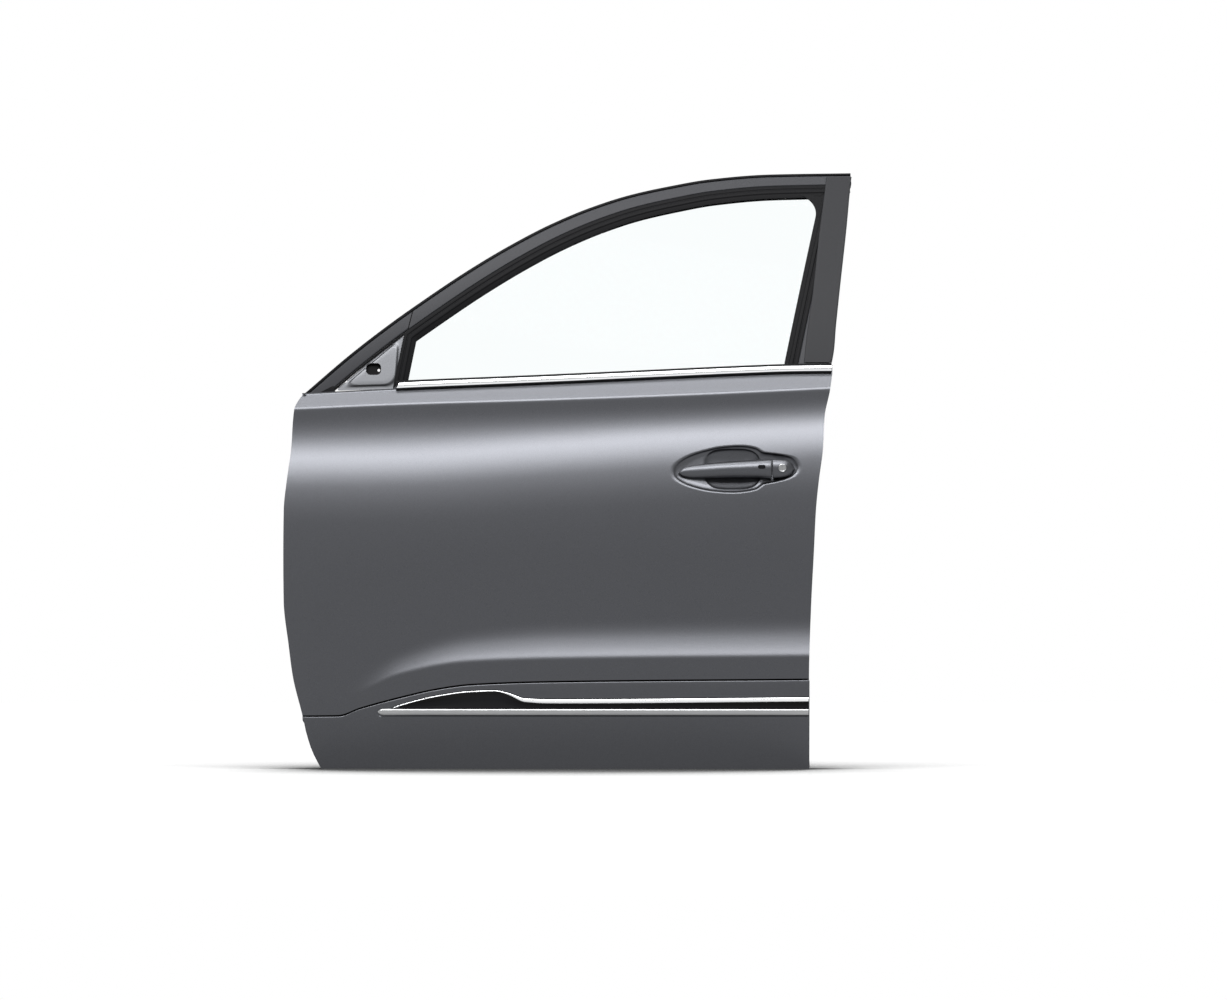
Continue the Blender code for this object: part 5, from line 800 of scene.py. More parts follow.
    def build(self) -> bpy.types.Object:
        """Make the skin: grid, flange, hem and the dish's rings, walled and cut for legs and lock."""
        px, py = self.grid()
        skin = VIEW.points(px, py, self.depth(px, py))
        keep, window = self.dish_window(px, py)
        rings = self.dish_rings(px[window], py[window])
        rings[0] = skin[window]
        bx, by = self.border(px, py, 0)
        ix, iy = self.border(px, py, self.hem)
        fold = np.array([0, self.hem_fold, 0])
        edge = VIEW.points(bx, by, self.depth(bx, by))
        hem = np.stack([edge, edge + fold, VIEW.points(ix, iy, self.depth(ix, iy)) + fold])
        patches = Patchwork().grid(skin, keep=keep).grid(rings, ring=True).cap(rings[-1])
        patches.grid(self.belt_flange(px[0], skin[0])).grid(hem)
        leg_hole = round_box(self.leg_hole, self.leg_hole, self.leg_hole_corner)
        cutters = [prism(leg_hole, SIDE.place(*spot), OUTWARD, self.cut) for spot in self.leg_spots]
        cutters.append(prism(circle(self.key_hole), SIDE.place(*self.key_px), OUTWARD, self.cut))
        return Piece("outer_skin", patches, PAINT, Slot.PAINT, nodes=("outer_panel",), wall=self.wall,
                     outward=OUTWARD, cutters=cutters, sharp=40).make()


@dataclass
class Handle:
    """Pull grip, its fixed end cap, the lock cylinder and the request button."""

    top: Knots = ((678, 472.2), (679, 471.2), (684, 467.8), (694, 465.4), (704, 464), (720, 462.3),
                  (734, 461.3), (754, 460.2), (772, 459.3))
    bottom: Knots = ((678, 473), (679, 474), (684, 476.8), (694, 478.3), (704, 478.3), (720, 477.8),
                     (734, 477.5), (754, 477.6), (772, 478.5))
    cap_top: Knots = ((771, 459.3), (784, 460.3), (790, 462.6), (793.5, 467))
    cap_bottom: Knots = ((771, 478.5), (784, 477), (790, 474.4), (793.5, 470.5))
    proud: Knots = ((679, 0.003), (690, 0.006), (710, 0.012), (740, 0.015), (772, 0.013))
    thick: Knots = ((679, 0.004), (690, 0.009), (710, 0.012), (772, 0.013))
    cap_proud: Knots = ((771, 0.013), (785, 0.009), (793.5, 0.001))
    grip_span: tuple[float, float] = (678.4, 770.7)
    cap_span: tuple[float, float] = (772.1, 793.3)
    end_round: float = 0.5
    end_offsets: tuple[float, ...] = (1.0, 0.5, 0.2, 0.0)
    tip_length: float = 4.0
    tip_share: float = 0.12
    tip_crowding: float = 1.25
    seam_round_share: float = 0.1
    cap_seam_shares: tuple[float, ...] = (0.955, 0.982, 0.995, 1)
    cap_tip_length: float = 3.0
    cap_tip_share: float = 0.35
    stations: int = 90
    cap_stations: int = 46
    sides: int = 48
    cap_floor: float = 0.0080
    leg: float = 0.008
    legs: tuple[tuple[float, float], ...] = ((687, 0.022), (763, 0.030))
    leg_row: float = 472
    key_px: tuple[float, float] = OuterSkin.key_px
    key_radius: float = 0.0078
    key_hole: float = 0.0082
    key_depth: float = 0.024
    key_proud: float = 0.0008
    key_dish: float = 0.0009
    key_rim: float = 0.0002
    key_shares: tuple[float, ...] = (0.78, 0.84, 0.93, 0.985, 1.0, 1.0)
    key_slot: tuple[float, float, float] = (0.0018, 0.0042, 0.0085)
    key_sides: int = 56
    key_cut: float = 0.09
    button_px: tuple[float, float] = (761, 467)
    button_size: tuple[float, float] = (0.0145, 0.0074)
    button_sink: float = 0.0018
    button_room: float = 0.0006
    button_round: float = 0.0003
    button_levels: Knots = ((0.70, -0.0015), (0.92, -0.00138), (0.99, -0.00105), (1.0, -0.0006),
                            (1.0, 0.0015))
    pocket_cut: float = 0.0100
    flat: float = 0.0001

    def sections(self, px: Array, top: Array, bottom: Array, proud: Array, back: Array) -> Array:
        """Elliptical sections between pixel rows, from proud of the side to back behind it."""
        turn = np.linspace(0, 2 * math.pi, self.sides, endpoint=False)
        wide, deep = np.cos(turn), np.sin(turn)
        middle_row = ((top + bottom) / 2)[:, None]
        half_row = ((bottom - top) / 2)[:, None]
        middle, half = ((back - proud) / 2)[:, None], ((back + proud) / 2)[:, None]
        base = SIDE.depth(px[:, None], middle_row)
        return VIEW.points(px[:, None], middle_row + half_row * wide, base + middle + half * deep)

    def shrunk(self, px: Array) -> Array:
        """Share of the full section along the grip: a quarter circle at its tip, a small roll at the seam."""
        tip = np.clip((px - px[0]) / self.tip_length, 0, 1)
        seam = np.clip((px[-1] - px) / self.end_round, 0, 1)
        roll = np.sqrt(1 - (1 - seam) ** 2) * self.seam_round_share + 1 - self.seam_round_share
        full = self.tip_share + (1 - self.tip_share) * np.sqrt(1 - (1 - tip) ** 2)
        return full * np.where(seam < 1, roll, 1)

    def build_legs(self) -> list[bpy.types.Object]:
        """Square legs from the grip's middle to their depths behind the side."""
        legs = []
        for column, deep in self.legs:
            start = float(smooth(column, self.thick)) / 2
            outline = self.leg_row + VIEW.tall(self.leg / 2) * np.array([-1, -1, 1, 1])
            sides = column + VIEW.wide(self.leg / 2) * np.array([-1, 1, 1, -1])
            depth = SIDE.depth(column, self.leg_row) + np.linspace(start, deep, 6)[:, None]
            legs.append(plain_body(loft(VIEW.points(sides[None], outline[None], depth))))
        return legs

    def build_grip(self) -> bpy.types.Object:
        """Grip lofted from its round tip to the seam, with two legs and the button's pocket."""
        front, rear = self.grip_span
        px = front + (rear - front) * np.linspace(0, 1, self.stations) ** self.tip_crowding
        px[-len(self.end_offsets):] = rear - np.array(self.end_offsets) * self.end_round
        top, bottom = smooth(px, self.top), smooth(px, self.bottom)
        proud, thick = smooth(px, self.proud), smooth(px, self.thick)
        share = self.shrunk(px)
        middle, half = (top + bottom) / 2, (bottom - top) / 2
        centre, deep = (thick - proud) / 2, (thick + proud) / 2 * share
        loops = self.sections(px, middle - half * share, middle + half * share, deep - centre, centre + deep)
        pocket = SIDE.place(*self.button_px, -float(smooth(self.button_px[0], self.proud)))
        width, height = (s + self.button_room for s in self.button_size)
        cutter = prism(round_box(width, height, height / 2 - self.flat), pocket, OUTWARD, self.pocket_cut)
        return Piece("pull_grip", loft(loops), PAINT, Slot.PAINT, Body.GRIP, ("handle_grip",),
                     cutters=[cutter], added=self.build_legs(), sharp=38).make()

    def build_cap(self) -> bpy.types.Object:
        """Fixed end cap behind the seam, bored for the lock."""
        front, rear = self.cap_span
        seam = len(self.end_offsets)
        px = front + (rear - front) * np.sin(np.linspace(0, 1, self.cap_stations) * math.pi / 2)
        px[:seam] = front + np.array(self.end_offsets[::-1]) * self.end_round
        top, bottom = smooth(px, self.cap_top), smooth(px, self.cap_bottom)
        share = np.ones_like(px)
        share[:seam] = self.cap_seam_shares
        close = np.clip((px[-1] - px) / self.cap_tip_length, 0, 1)
        share *= self.cap_tip_share + (1 - self.cap_tip_share) * np.sqrt(1 - (1 - close) ** 2)
        middle, half = (top + bottom) / 2, (bottom - top) / 2
        proud = smooth(px, self.cap_proud)
        loops = self.sections(px, middle - half * share, middle + half * share, proud * share,
                              self.cap_floor * share)
        cutter = prism(circle(self.key_hole), SIDE.place(*self.key_px), OUTWARD, self.key_cut)
        return Piece("handle_cap", loft(loops), PAINT, Slot.PAINT, nodes=("handle_end_cap",),
                     cutters=[cutter], sharp=38).make()

    def stack(self, centre: Array, outline: Array, levels: Knots) -> Array:
        """Rings of an outline scaled by shares and set at depths behind a centre."""
        return np.stack([np.stack([centre[0] + outline[:, 0] * s, np.full(len(outline), centre[1] + d),
                                   centre[2] + outline[:, 1] * s], axis=-1) for s, d in levels])

    def build_lock(self) -> bpy.types.Object:
        """Lock cylinder: a turned rim and dished face with its key slot."""
        face = float(smooth(self.key_px[0], self.cap_proud)) + self.key_proud
        depths = (self.key_dish - face, self.key_rim - face, -face, self.key_rim - face,
                  self.key_dish - face, self.key_depth)
        centre = SIDE.place(*self.key_px)
        loops = self.stack(centre, circle(self.key_radius, self.key_sides),
                           tuple(zip(self.key_shares, depths)))
        wide, deep, tall = self.key_slot
        slot = round_box(wide, tall, wide / 2 - self.flat)
        cutter = prism(slot, centre - np.array([0, face, 0]), OUTWARD, deep * 2)
        return Piece("lock_plug", loft(loops), KEY_METAL, Slot.CHROME, Body.LOCK, ("lock_cylinder",),
                     cutters=[cutter], sharp=30).make()

    def build_button(self) -> bpy.types.Object:
        """Request button: a softly crowned pad in its pocket."""
        behind = self.button_sink - float(smooth(self.button_px[0], self.proud))
        width, height = self.button_size
        outline = round_box(width, height, height / 2 - self.button_round)
        loops = self.stack(SIDE.place(*self.button_px, behind), outline, self.button_levels)
        return Piece("request_pad", loft(loops), GLOSS_BLACK, Slot.GLOSS_BLACK, Body.BUTTON,
                     ("request_button",)).make()

    def build(self) -> None:
        """Make all four pieces."""
        self.build_grip()
        self.build_cap()
        self.build_lock()
        self.build_button()


@dataclass
class BeltTrim:
    """Bright belt strip and the rubber that clips under it and wipes the glass."""

    stations: int = 110
    span: tuple[float, float] = (396.5, 831)
    free: tuple[float, float] = (413, 779)
    low: float = 0.0045
    high: float = 0.0170
    out: float = 0.0055
    top: float = 0.0205
    leg: float = 0.0010
    gap: float = 0.0003
    seal: float = 0.0016
    flange: float = OuterSkin.flange
    flange_step: float = OuterSkin.flange_step
    skin: float = OuterSkin.wall
    glass_grip: float = 0.0026
    cover: float = 0.0087
    end_px: float = 0.6
    chrome_shares: Knots = ((0, 0), (0, 0.62), (0.22, 1), (0.72, 0.92), (1, 0.35), (1, 0))
    chrome_reach: float = 0.0024
    rubber_reach: float = 0.0005
    foot_legs: float = 3.2
    lean_share: float = 0.55
    lean_px: tuple[float, float] = (410, 12)

    def slots(self) -> Array:
        """Pixel columns of the sections, doubled at the ends of the free length."""
        px = np.linspace(*self.span, self.stations)
        free = np.array(self.free)
        return np.sort(np.concatenate([px, free - self.end_px, free + self.end_px]))

    def carry(self, px: Array, line: Array, section: Array) -> Array:
        """World sections from (height over the belt line, depth) at pixel columns."""
        across = np.broadcast_to(VIEW.across(px)[:, None], section.shape[:2])
        height = VIEW.up(line)[:, None] + section[..., 0]
        return np.stack([across, section[..., 1] - VIEW.hinge_depth, height], axis=-1)

    def build_chrome(self) -> bpy.types.Object:
        """Bright strip: a crowned section carried along the belt line."""
        px = self.slots()
        line = smooth(px, SIDE.belt)
        face = SIDE.depth(px, line) - self.leg - self.gap
        high, out = np.array(self.chrome_shares).T
        rise = self.low + high * (self.high - self.low)
        rise = np.broadcast_to(rise, (len(px), len(rise)))
        section = np.stack([rise, face[:, None] - out * self.out], axis=-1)
        section = round_corners(section, self.chrome_reach, True, 6)
        loops = self.carry(px, line, section)
        lean_end, lean_run = self.lean_px
        lean = (section[..., 0] - self.low) * self.lean_share
        loops[..., 0] += lean * ease((lean_end - px[:, None]) / lean_run)
        return Piece("belt_bright_strip", loft(loops), CHROME, Slot.CHROME, nodes=("belt_chrome",),
                     sharp=50).make()

    def build_seal(self) -> bpy.types.Object:
        """Outer belt rubber: clip over the flange, face behind the strip, and a lip to the glass."""
        px = self.slots()
        line = smooth(px, SIDE.belt)
        depth, z = SIDE.depth(px, line), VIEW.up(line)
        free = (px >= self.free[0]) & (px <= self.free[1])
        reach = np.where(free, self.glass_grip, self.cover)
        wipe = [DRUM.world_y(VIEW.across(px), z + h, reach) + VIEW.hinge_depth
                for h in (self.top, self.top - self.seal)]
        flange = depth + self.flange_step
        crown = self.flange + self.flange_step + self.gap
        inner = flange + self.skin + self.gap
        foot = self.flange_step * 2
        heights = (self.leg * 2, self.top - self.seal, self.top, self.top, self.top - self.seal,
                   crown - self.seal, foot, foot, crown, crown, self.flange_step + self.gap * 2, self.leg * 2)
        depths = np.stack([depth - self.leg * self.foot_legs, depth - self.leg, depth + self.leg, wipe[0],
                           wipe[1], inner + self.seal, inner + self.seal, inner, inner, flange - self.gap,
                           flange - self.gap * 2, depth + self.gap * 2], axis=1)
        section = np.stack([np.broadcast_to(np.array(heights), depths.shape), depths], axis=-1)
        loops = self.carry(px, line, round_corners(section, self.rubber_reach, True, 3))
        return Piece("belt_rubber", loft(loops), RUBBER, Slot.RUBBER, nodes=("belt_seal_outer",)).make()


@dataclass
class WindowFrame:
    """Roof rail, sash, pillar and their rubbers, laid out on the glass's drum."""

    roof: Knots = ((298, 399.6), (308, 391), (350, 355), (390, 324), (413, 307.5), (470, 269), (510, 245),
                   (550, 224), (590, 207), (630, 194), (670, 185), (710, 178), (770, 173), (853, 171.5))
    face: Knots = ((308, 0.0262), (413, 0.0262), (550, 0.025), (700, 0.023), (853, 0.0215))
    seam: float = 411.5
    seam_line: Knots = ((415.2, 302), (406.3, 337.5))
    seam_room: float = 17
    seam_gap: float = 0.001
    seam_block: tuple[float, float] = (0.16, 0.4)
    seam_bar: tuple[float, float] = (0.0022, 0.006)
    seam_rows: tuple[float, float] = (311, 333)
    rail_end: float = 851.5
    sash_start: float = 303
    foot_block: float = 0.5
    foot_px: tuple[float, float] = (360, 395.2)
    bead: float = 0.0034
    bead_sink: tuple[float, float] = (0.001, 0.0016)
    bead_end_share: float = 0.7
    filler: float = 0.042
    filler_under: float = 0.005
    filler_sink: float = 0.0022
    filler_wall: float = 0.0024
    pillar_rear: Knots = ((173, 853), (180, 852), (228, 847), (288, 840), (324, 836), (360, 832), (374, 814),
                          (420, 806))
    pillar_front: Knots = ((173, 827.5), (186, 826), (230, 820), (290, 813), (340, 806), (364, 803.5))
    pillar_rows: tuple[float, float] = (187.5, 420)
    applique_rows: tuple[float, float] = (175.5, 362.5)
    applique_wall: float = 0.0012
    wall: float = 0.0012
    lip: float = 0.0055
    out: float = 0.0085
    deep: float = 0.022
    corner: float = 0.002
    metal_reach: float = 0.0014
    bead_reach: float = 0.0005
    lip_reach: float = 0.0008
    run_reach: float = 0.0006
    pocket_lip: float = 0.008
    gap: float = 0.0003
    seal: float = 0.0016
    run_grip: float = 0.012
    run_cover: float = 0.0145
    run_root: float = 0.0052
    run_cover_out: float = 0.0078
    run_back: float = 0.0075
    run_wall: float = 0.0028
    run_below: float = 0.27
    run_face: Knots = ((-0.0035, -0.0018), (-0.0015, 0), (0.0042, 0.0002), (0.0056, -0.0011),
                       (0.0072, -0.0011), (0.0084, 0))
    glass_wall: float = 0.004
    glass_gap: float = 0.0006
    glass_front: float = -0.3775
    glass_rear: float = 0.3765
    glass_below: float = 0.062
    before_seam_px: float = 30
    belt_px: tuple[float, float] = (300, 832)
    lip_skip_px: float = 3
    lip_sink: float = 0.0006
    lip_crest: float = 0.0012
    lip_crest_share: float = 0.6
    rail_outward: tuple[float, float, float] = (-0.5, 0, 1)
    applique_shares: tuple[float, ...] = (0, 0.01, 0.03, 0.06, 0.12, 0.3, 0.5, 0.7, 0.88, 0.94, 0.97, 0.99, 1)
    applique_roll: float = 0.06

    def roof_path(self, px: Array) -> tuple[Array, Array]:
        """Places of the roof line on the drum, and the directions from it towards the glass."""
        along, around = DRUM.at_pixel(px, smooth(px, self.roof), self.out)
        ahead = DRUM.at_pixel(px + 1, smooth(px + 1, self.roof), self.out)
        behind = DRUM.at_pixel(px - 1, smooth(px - 1, self.roof), self.out)
        run = np.stack([ahead[0] - behind[0], ahead[1] - behind[1]], axis=-1)
        run /= np.linalg.norm(run, axis=-1, keepdims=True)
        return np.stack([along, around], axis=-1), np.stack([run[..., 1], -run[..., 0]], axis=-1)

    def glass_distance(self, px: Array) -> Array:
        """Distance from the roof line to the edge of the glass."""
        return self.lip + smooth(px, self.face) + self.run_cover + self.gap * 2

    def glass_top(self, along: Array) -> Array:
        """Height on the drum of the glass's top edge at places along its axis."""
        px = np.linspace(self.seam - self.before_seam_px, VIEW.right, 160)
        roof, toward = self.roof_path(px)
        edge = roof + toward * self.glass_distance(px)[:, None]
        return np.interp(along, edge[:, 0], edge[:, 1])

    def belt_around(self, along: Array) -> Array:
        """Height on the drum of the belt line at places along its axis."""
        px = np.linspace(*self.belt_px, 40)
        return np.interp(along, *DRUM.at_pixel(px, smooth(px, SIDE.belt)))

    def rail(self, px: Array, section: Array) -> Array:
        """Grid of world points: a section of (across, out) carried along the roof line."""
        roof, toward = self.roof_path(px)
        spots = roof[:, None] + toward[:, None] * section[..., :1]
        return DRUM.place(spots[..., 0], spots[..., 1], section[..., 1])

    def build_header(self) -> bpy.types.Object:
        """Roof rail: rolled box with a pocket for the glass run."""
        px = np.linspace(self.seam - self.seam_room, self.rail_end, 130)
        edge = self.glass_distance(px)
        roof, toward = self.roof_path(px)
        face = edge - self.run_cover - self.gap
        pocket, lip = edge - self.run_root - self.gap * 2, edge + self.pocket_lip
        past = roof[:, 0] + toward[:, 0] * lip > self.glass_rear - self.pocket_lip
        pocket = np.where(past, face - self.corner, pocket)
        lip = np.where(past, face - self.corner, lip)
        same = 0 * px
        back = same - self.run_back - self.wall
        under = same + self.run_cover_out - self.seal - self.gap * 2
        near, front, deep = same + self.lip, same + self.out, same - self.deep
        corners = ((lip, back), (pocket, back), (pocket, under), (face, under),
                   (face - self.corner / 2, front), (near + self.corner, front),
                   (near, front - self.corner), (near, deep + self.corner), (near + self.corner, deep),
                   (face, deep))
        grid = self.rail(px, rounded_sections(corners, self.metal_reach, False))
        return Piece("roof_rail", Patchwork().grid(grid), FRAME_PAINT, Slot.FRAME_PAINT,
                     nodes=("header_frame",), wall=self.wall, outward=self.rail_outward,
                     cutters=[self.seam_cutter(-1)]).make()

    def seam_cutter(self, side: int) -> bpy.types.Object:
        """Block that ends a rail at the seam, on one side of the seam's line."""
        (x0, y0), (x1, y1) = self.seam_line
        top, foot = VIEW.points(x0, y0, 0.0), VIEW.points(x1, y1, 0.0)
        way = (top - foot) / np.linalg.norm(top - foot)
        size, length = self.seam_block
        across = np.cross(way, OUTWARD) * side
        middle = (top + foot) / 2 + across * (size / 2 - self.seam_gap)
        middle[1] = 0
        return prism(square(size), middle, OUTWARD, length, way)

    def build_sash(self) -> bpy.types.Object:
        """Lower front end of the window frame, ahead of the seam."""
        px = np.linspace(self.sash_start, self.seam + self.seam_room, 46)
        same = 0 * px
        near, front, deep = same + self.lip, same + self.out, same - self.deep
        far = self.lip + smooth(px, self.face) - self.gap * 3
        corners = ((far, same - self.run_back), (far, front - self.corner), (far - self.corner, front),
                   (near + self.corner, front), (near, front - self.corner), (near, deep + self.corner),
                   (near + self.corner, deep), (far, deep))
        grid = self.rail(px, rounded_sections(corners, self.metal_reach, False))
        return Piece("sash", Patchwork().grid(grid), FRAME_PAINT, Slot.FRAME_PAINT,
                     nodes=("front_sash",), wall=self.wall, outward=self.rail_outward,
                     cutters=[self.foot_cutter(), self.seam_cutter(1)]).make()

    def foot_cutter(self) -> bpy.types.Object:
        """Block that ends the sash and its rubbers just above the door's shoulder."""
        size = self.foot_block
        middle = VIEW.points(*self.foot_px, DRUM.belt_depth) - np.array([0, 0, size / 2])
        return prism(square(size), middle, OUTWARD, size)

    def build_bead(self) -> bpy.types.Object:
        """Rubber bead between the sash and the mirror plate; its black also stands in for the shade in the
        gap there, as painted shade.
        """
        px = np.linspace(self.sash_start, self.seam - self.seam_room * self.bead_end_share, 40)
        near = self.lip + smooth(px, self.face)
        same = 0 * px
        by_sash, by_plate = (same + self.out - sink for sink in self.bead_sink)
        corners = ((near, by_sash), (near + self.bead, by_plate), (near + self.bead, same), (near, same))
        section = rounded_sections(corners, self.bead_reach, True, 3)
        # Painted shade: the black bead also gives the dark line of the shaded gap between sash and plate.
        return Piece("sash_bead", loft(self.rail(px, section)), RUBBER, Slot.RUBBER,
                     cutters=[self.foot_cutter()]).make()

    def build_seam_rubber(self) -> bpy.types.Object:
        """Rubber between the sash and the roof rail: a bar behind the seam's line."""
        (x0, y0), (x1, y1) = self.seam_line
        py = np.linspace(*self.seam_rows, 8)[:, None]
        along, around = DRUM.at_pixel(x0 + (py - y0) * (x1 - x0) / (y1 - y0), py, self.out)
        half, thick = self.seam_bar
        wide = np.array((-1, 1, 1, -1)) * half
        out = np.array((-1, -1, 0, 0)) * thick + self.out - self.wall * 2
        loops = DRUM.place(along + wide, around + 0 * wide, out + 0 * along)
        return Piece("seam_rubber", loft(loops), RUBBER, Slot.RUBBER).make()

    def build_corner_filler(self) -> bpy.types.Object:
        """Rubber web in the upper rear corner of the opening: a square corner less a quarter circle."""
        angle = np.radians(np.linspace(0, 90, 31))
        way = np.stack([np.cos(angle), np.sin(angle)], axis=1)
        edge = self.filler + self.filler_under
        outer = way * edge / way.max(axis=1, keepdims=True)
        share = np.linspace(0, 1, 7)[:, None, None]
        side = self.glass_rear - self.run_grip - self.filler
        middle = np.array([side, float(self.glass_top(side + self.filler / 2)) - self.run_grip - self.filler])
        spots = middle + way * self.filler * (1 - share) + outer * share
        out = self.run_cover_out - self.filler_sink + 0 * spots[..., 0]
        grid = DRUM.place(spots[..., 0], spots[..., 1], out)
        return Piece("corner_web", Patchwork().grid(grid), RUBBER, Slot.RUBBER, wall=self.filler_wall,
                     outward=OUTWARD).make()

    def build_lip(self) -> bpy.types.Object:
        """Rubber lip along the roof edge."""
        px = np.concatenate([np.linspace(self.sash_start, self.seam, 30),
                             np.linspace(self.seam + self.lip_skip_px, self.rail_end, 100)])
        near = self.lip - self.gap
        loop = np.array(((0, self.out - self.lip_sink),
                         (self.lip_crest, self.out + self.seal * self.lip_crest_share),
                         (near, self.out + self.seal / 2), (near, -self.deep / 2),
                         (self.lip / 2, -self.deep / 2), (self.lip / 2, 0)))
        section = np.broadcast_to(loop, (len(px), *loop.shape)).copy()
        section = round_corners(section, self.lip_reach, True, 4)
        return Piece("roof_lip_rubber", loft(self.rail(px, section)), RUBBER, Slot.RUBBER,
                     nodes=("header_lip_seal",), cutters=[self.foot_cutter()]).make()

    def outline(self, below: float) -> Array:
        """Places up the front edge of the glass, along its top and down its rear edge."""
        front, rear = self.glass_front, self.glass_rear
        top = np.linspace(front, rear, 110)
        legs = np.linspace(0, 1, 40)[:-1]
        low = [float(self.belt_around(s)) - below for s in (front, rear)]
        high = [float(self.glass_top(s)) for s in (front, rear)]
        rise = np.stack([np.full(len(legs), front), low[0] + (high[0] - low[0]) * legs], axis=1)
        fall = np.stack([np.full(len(legs), rear), low[1] + (high[1] - low[1]) * legs[::-1]], axis=1)
        return np.concatenate([rise, np.stack([top, self.glass_top(top)], axis=1), fall])

    def mitres(self, path: Array) -> Array:
        """Outward offset directions along a path of drum places, longer at its corners."""
        run = np.diff(path, axis=0)
        run /= np.linalg.norm(run, axis=1, keepdims=True)
        normal = np.stack([-run[:, 1], run[:, 0]], axis=1)
        mean = np.concatenate([normal[:1], normal]) + np.concatenate([normal, normal[-1:]])
        return mean * 2 / np.sum(mean * mean, axis=1, keepdims=True)

    def build_run(self) -> bpy.types.Object:
        """Rubber channel round the glass: a grooved cover and two wiping lips on one root."""
        path = self.outline(self.run_below)
        grip = self.glass_wall / 2 + self.glass_gap
        floor = self.run_root - self.run_wall
        out = self.run_cover_out
        cover, inside = out - self.seal, grip + self.seal / 2
        lip = ((-self.run_grip, grip), (-self.run_grip, grip + self.seal))
        face = tuple((across, out + rise) for across, rise in self.run_face)
        back = ((self.run_cover, out), (self.run_cover, cover), (self.run_root, cover),
                (self.run_root, -self.run_back), (-self.run_grip, -grip - self.seal),
                (-self.run_grip, -grip), (floor, -inside), (floor, inside))
        loop = np.array(lip + face + back)
        section = np.broadcast_to(loop, (len(path), *loop.shape)).copy()
        section = round_corners(section, self.run_reach, True, 3)
        spots = path[:, None] + self.mitres(path)[:, None] * section[..., :1]
        loops = DRUM.place(spots[..., 0], spots[..., 1], section[..., 1])
        patches = Patchwork().grid(loops, ring=True).flat_cap(loops[0]).flat_cap(loops[-1])
        return Piece("glass_run_rubber", patches, RUBBER, Slot.RUBBER, nodes=("glass_run_seal",)).make()

    def build_glass(self) -> bpy.types.Object:
        """Toughened pane: a rectangle of the drum between its edges."""
        along = np.linspace(self.glass_front, self.glass_rear, 90)
        rise = np.linspace(0, 1, 60)[:, None]
        low, high = self.belt_around(along) - self.glass_below, self.glass_top(along)
        around = low + (high - low) * rise
        grid = DRUM.place(along + 0 * around, around, self.glass_wall / 2)
        return Piece("door_glass", Patchwork().grid(grid), GLASS, Slot.GLASS, Body.WINDOW,
                     ("window_glass",), wall=self.glass_wall, outward=OUTWARD).make()

    def build_pillar(self) -> bpy.types.Object:
        """Rear upright of the window frame: rolled box that runs down into the door."""
        py = np.linspace(*self.pillar_rows, 60)
        along, around = DRUM.at_pixel(smooth(py, self.pillar_rear), py, self.out)
        end = along - self.gap * 3
        same = 0 * py
        start = same + self.glass_rear + self.run_cover + self.gap * 2
        back, front, deep = same - self.run_back - self.wall, same + self.out, same - self.deep
        corners = ((start - self.run_cover / 2, back), (start, back), (start, front - self.corner),
                   (start + self.corner, front), (end - self.corner, front), (end, front - self.corner),
                   (end, deep + self.corner), (end - self.corner, deep), (start + self.corner, deep))
        section = rounded_sections(corners, self.metal_reach, False)
        grid = DRUM.place(section[..., 0], around[:, None], section[..., 1])
        return Piece("pillar_rail", Patchwork().grid(grid), FRAME_PAINT, Slot.FRAME_PAINT,
                     nodes=("b_pillar_frame",), wall=self.wall, outward=OUTWARD).make()

    def build_applique(self) -> bpy.types.Object:
        """Satin cover plate over the rear upright, with rolled edges."""
        py = np.linspace(*self.applique_rows, 70)[:, None]
        share = np.array(self.applique_shares)[None]
        px = smooth(py, self.pillar_front) * (1 - share) + smooth(py, self.pillar_rear) * share
        edge = np.clip(np.minimum(share, 1 - share) / self.applique_roll, 0, 1)
        lift = self.out + self.gap * 2 + self.applique_wall * (1 + np.sqrt(1 - (1 - edge) ** 2))
        x, z = VIEW.across(px), VIEW.up(py)
        grid = np.stack([x, DRUM.world_y(x, z, lift), z + 0 * px], axis=-1)
        return Piece("pillar_applique", Patchwork().grid(grid), APPLIQUE, Slot.SATIN_GREY,
                     nodes=("b_pillar_applique",), wall=self.applique_wall, outward=OUTWARD, sharp=45).make()

    def build(self) -> None:
        """Make every piece of the frame."""
        self.build_header()
        self.build_sash()
        self.build_bead()
        self.build_seam_rubber()
        self.build_corner_filler()
        self.build_lip()
        self.build_run()
        self.build_glass()
        self.build_pillar()
        self.build_applique()


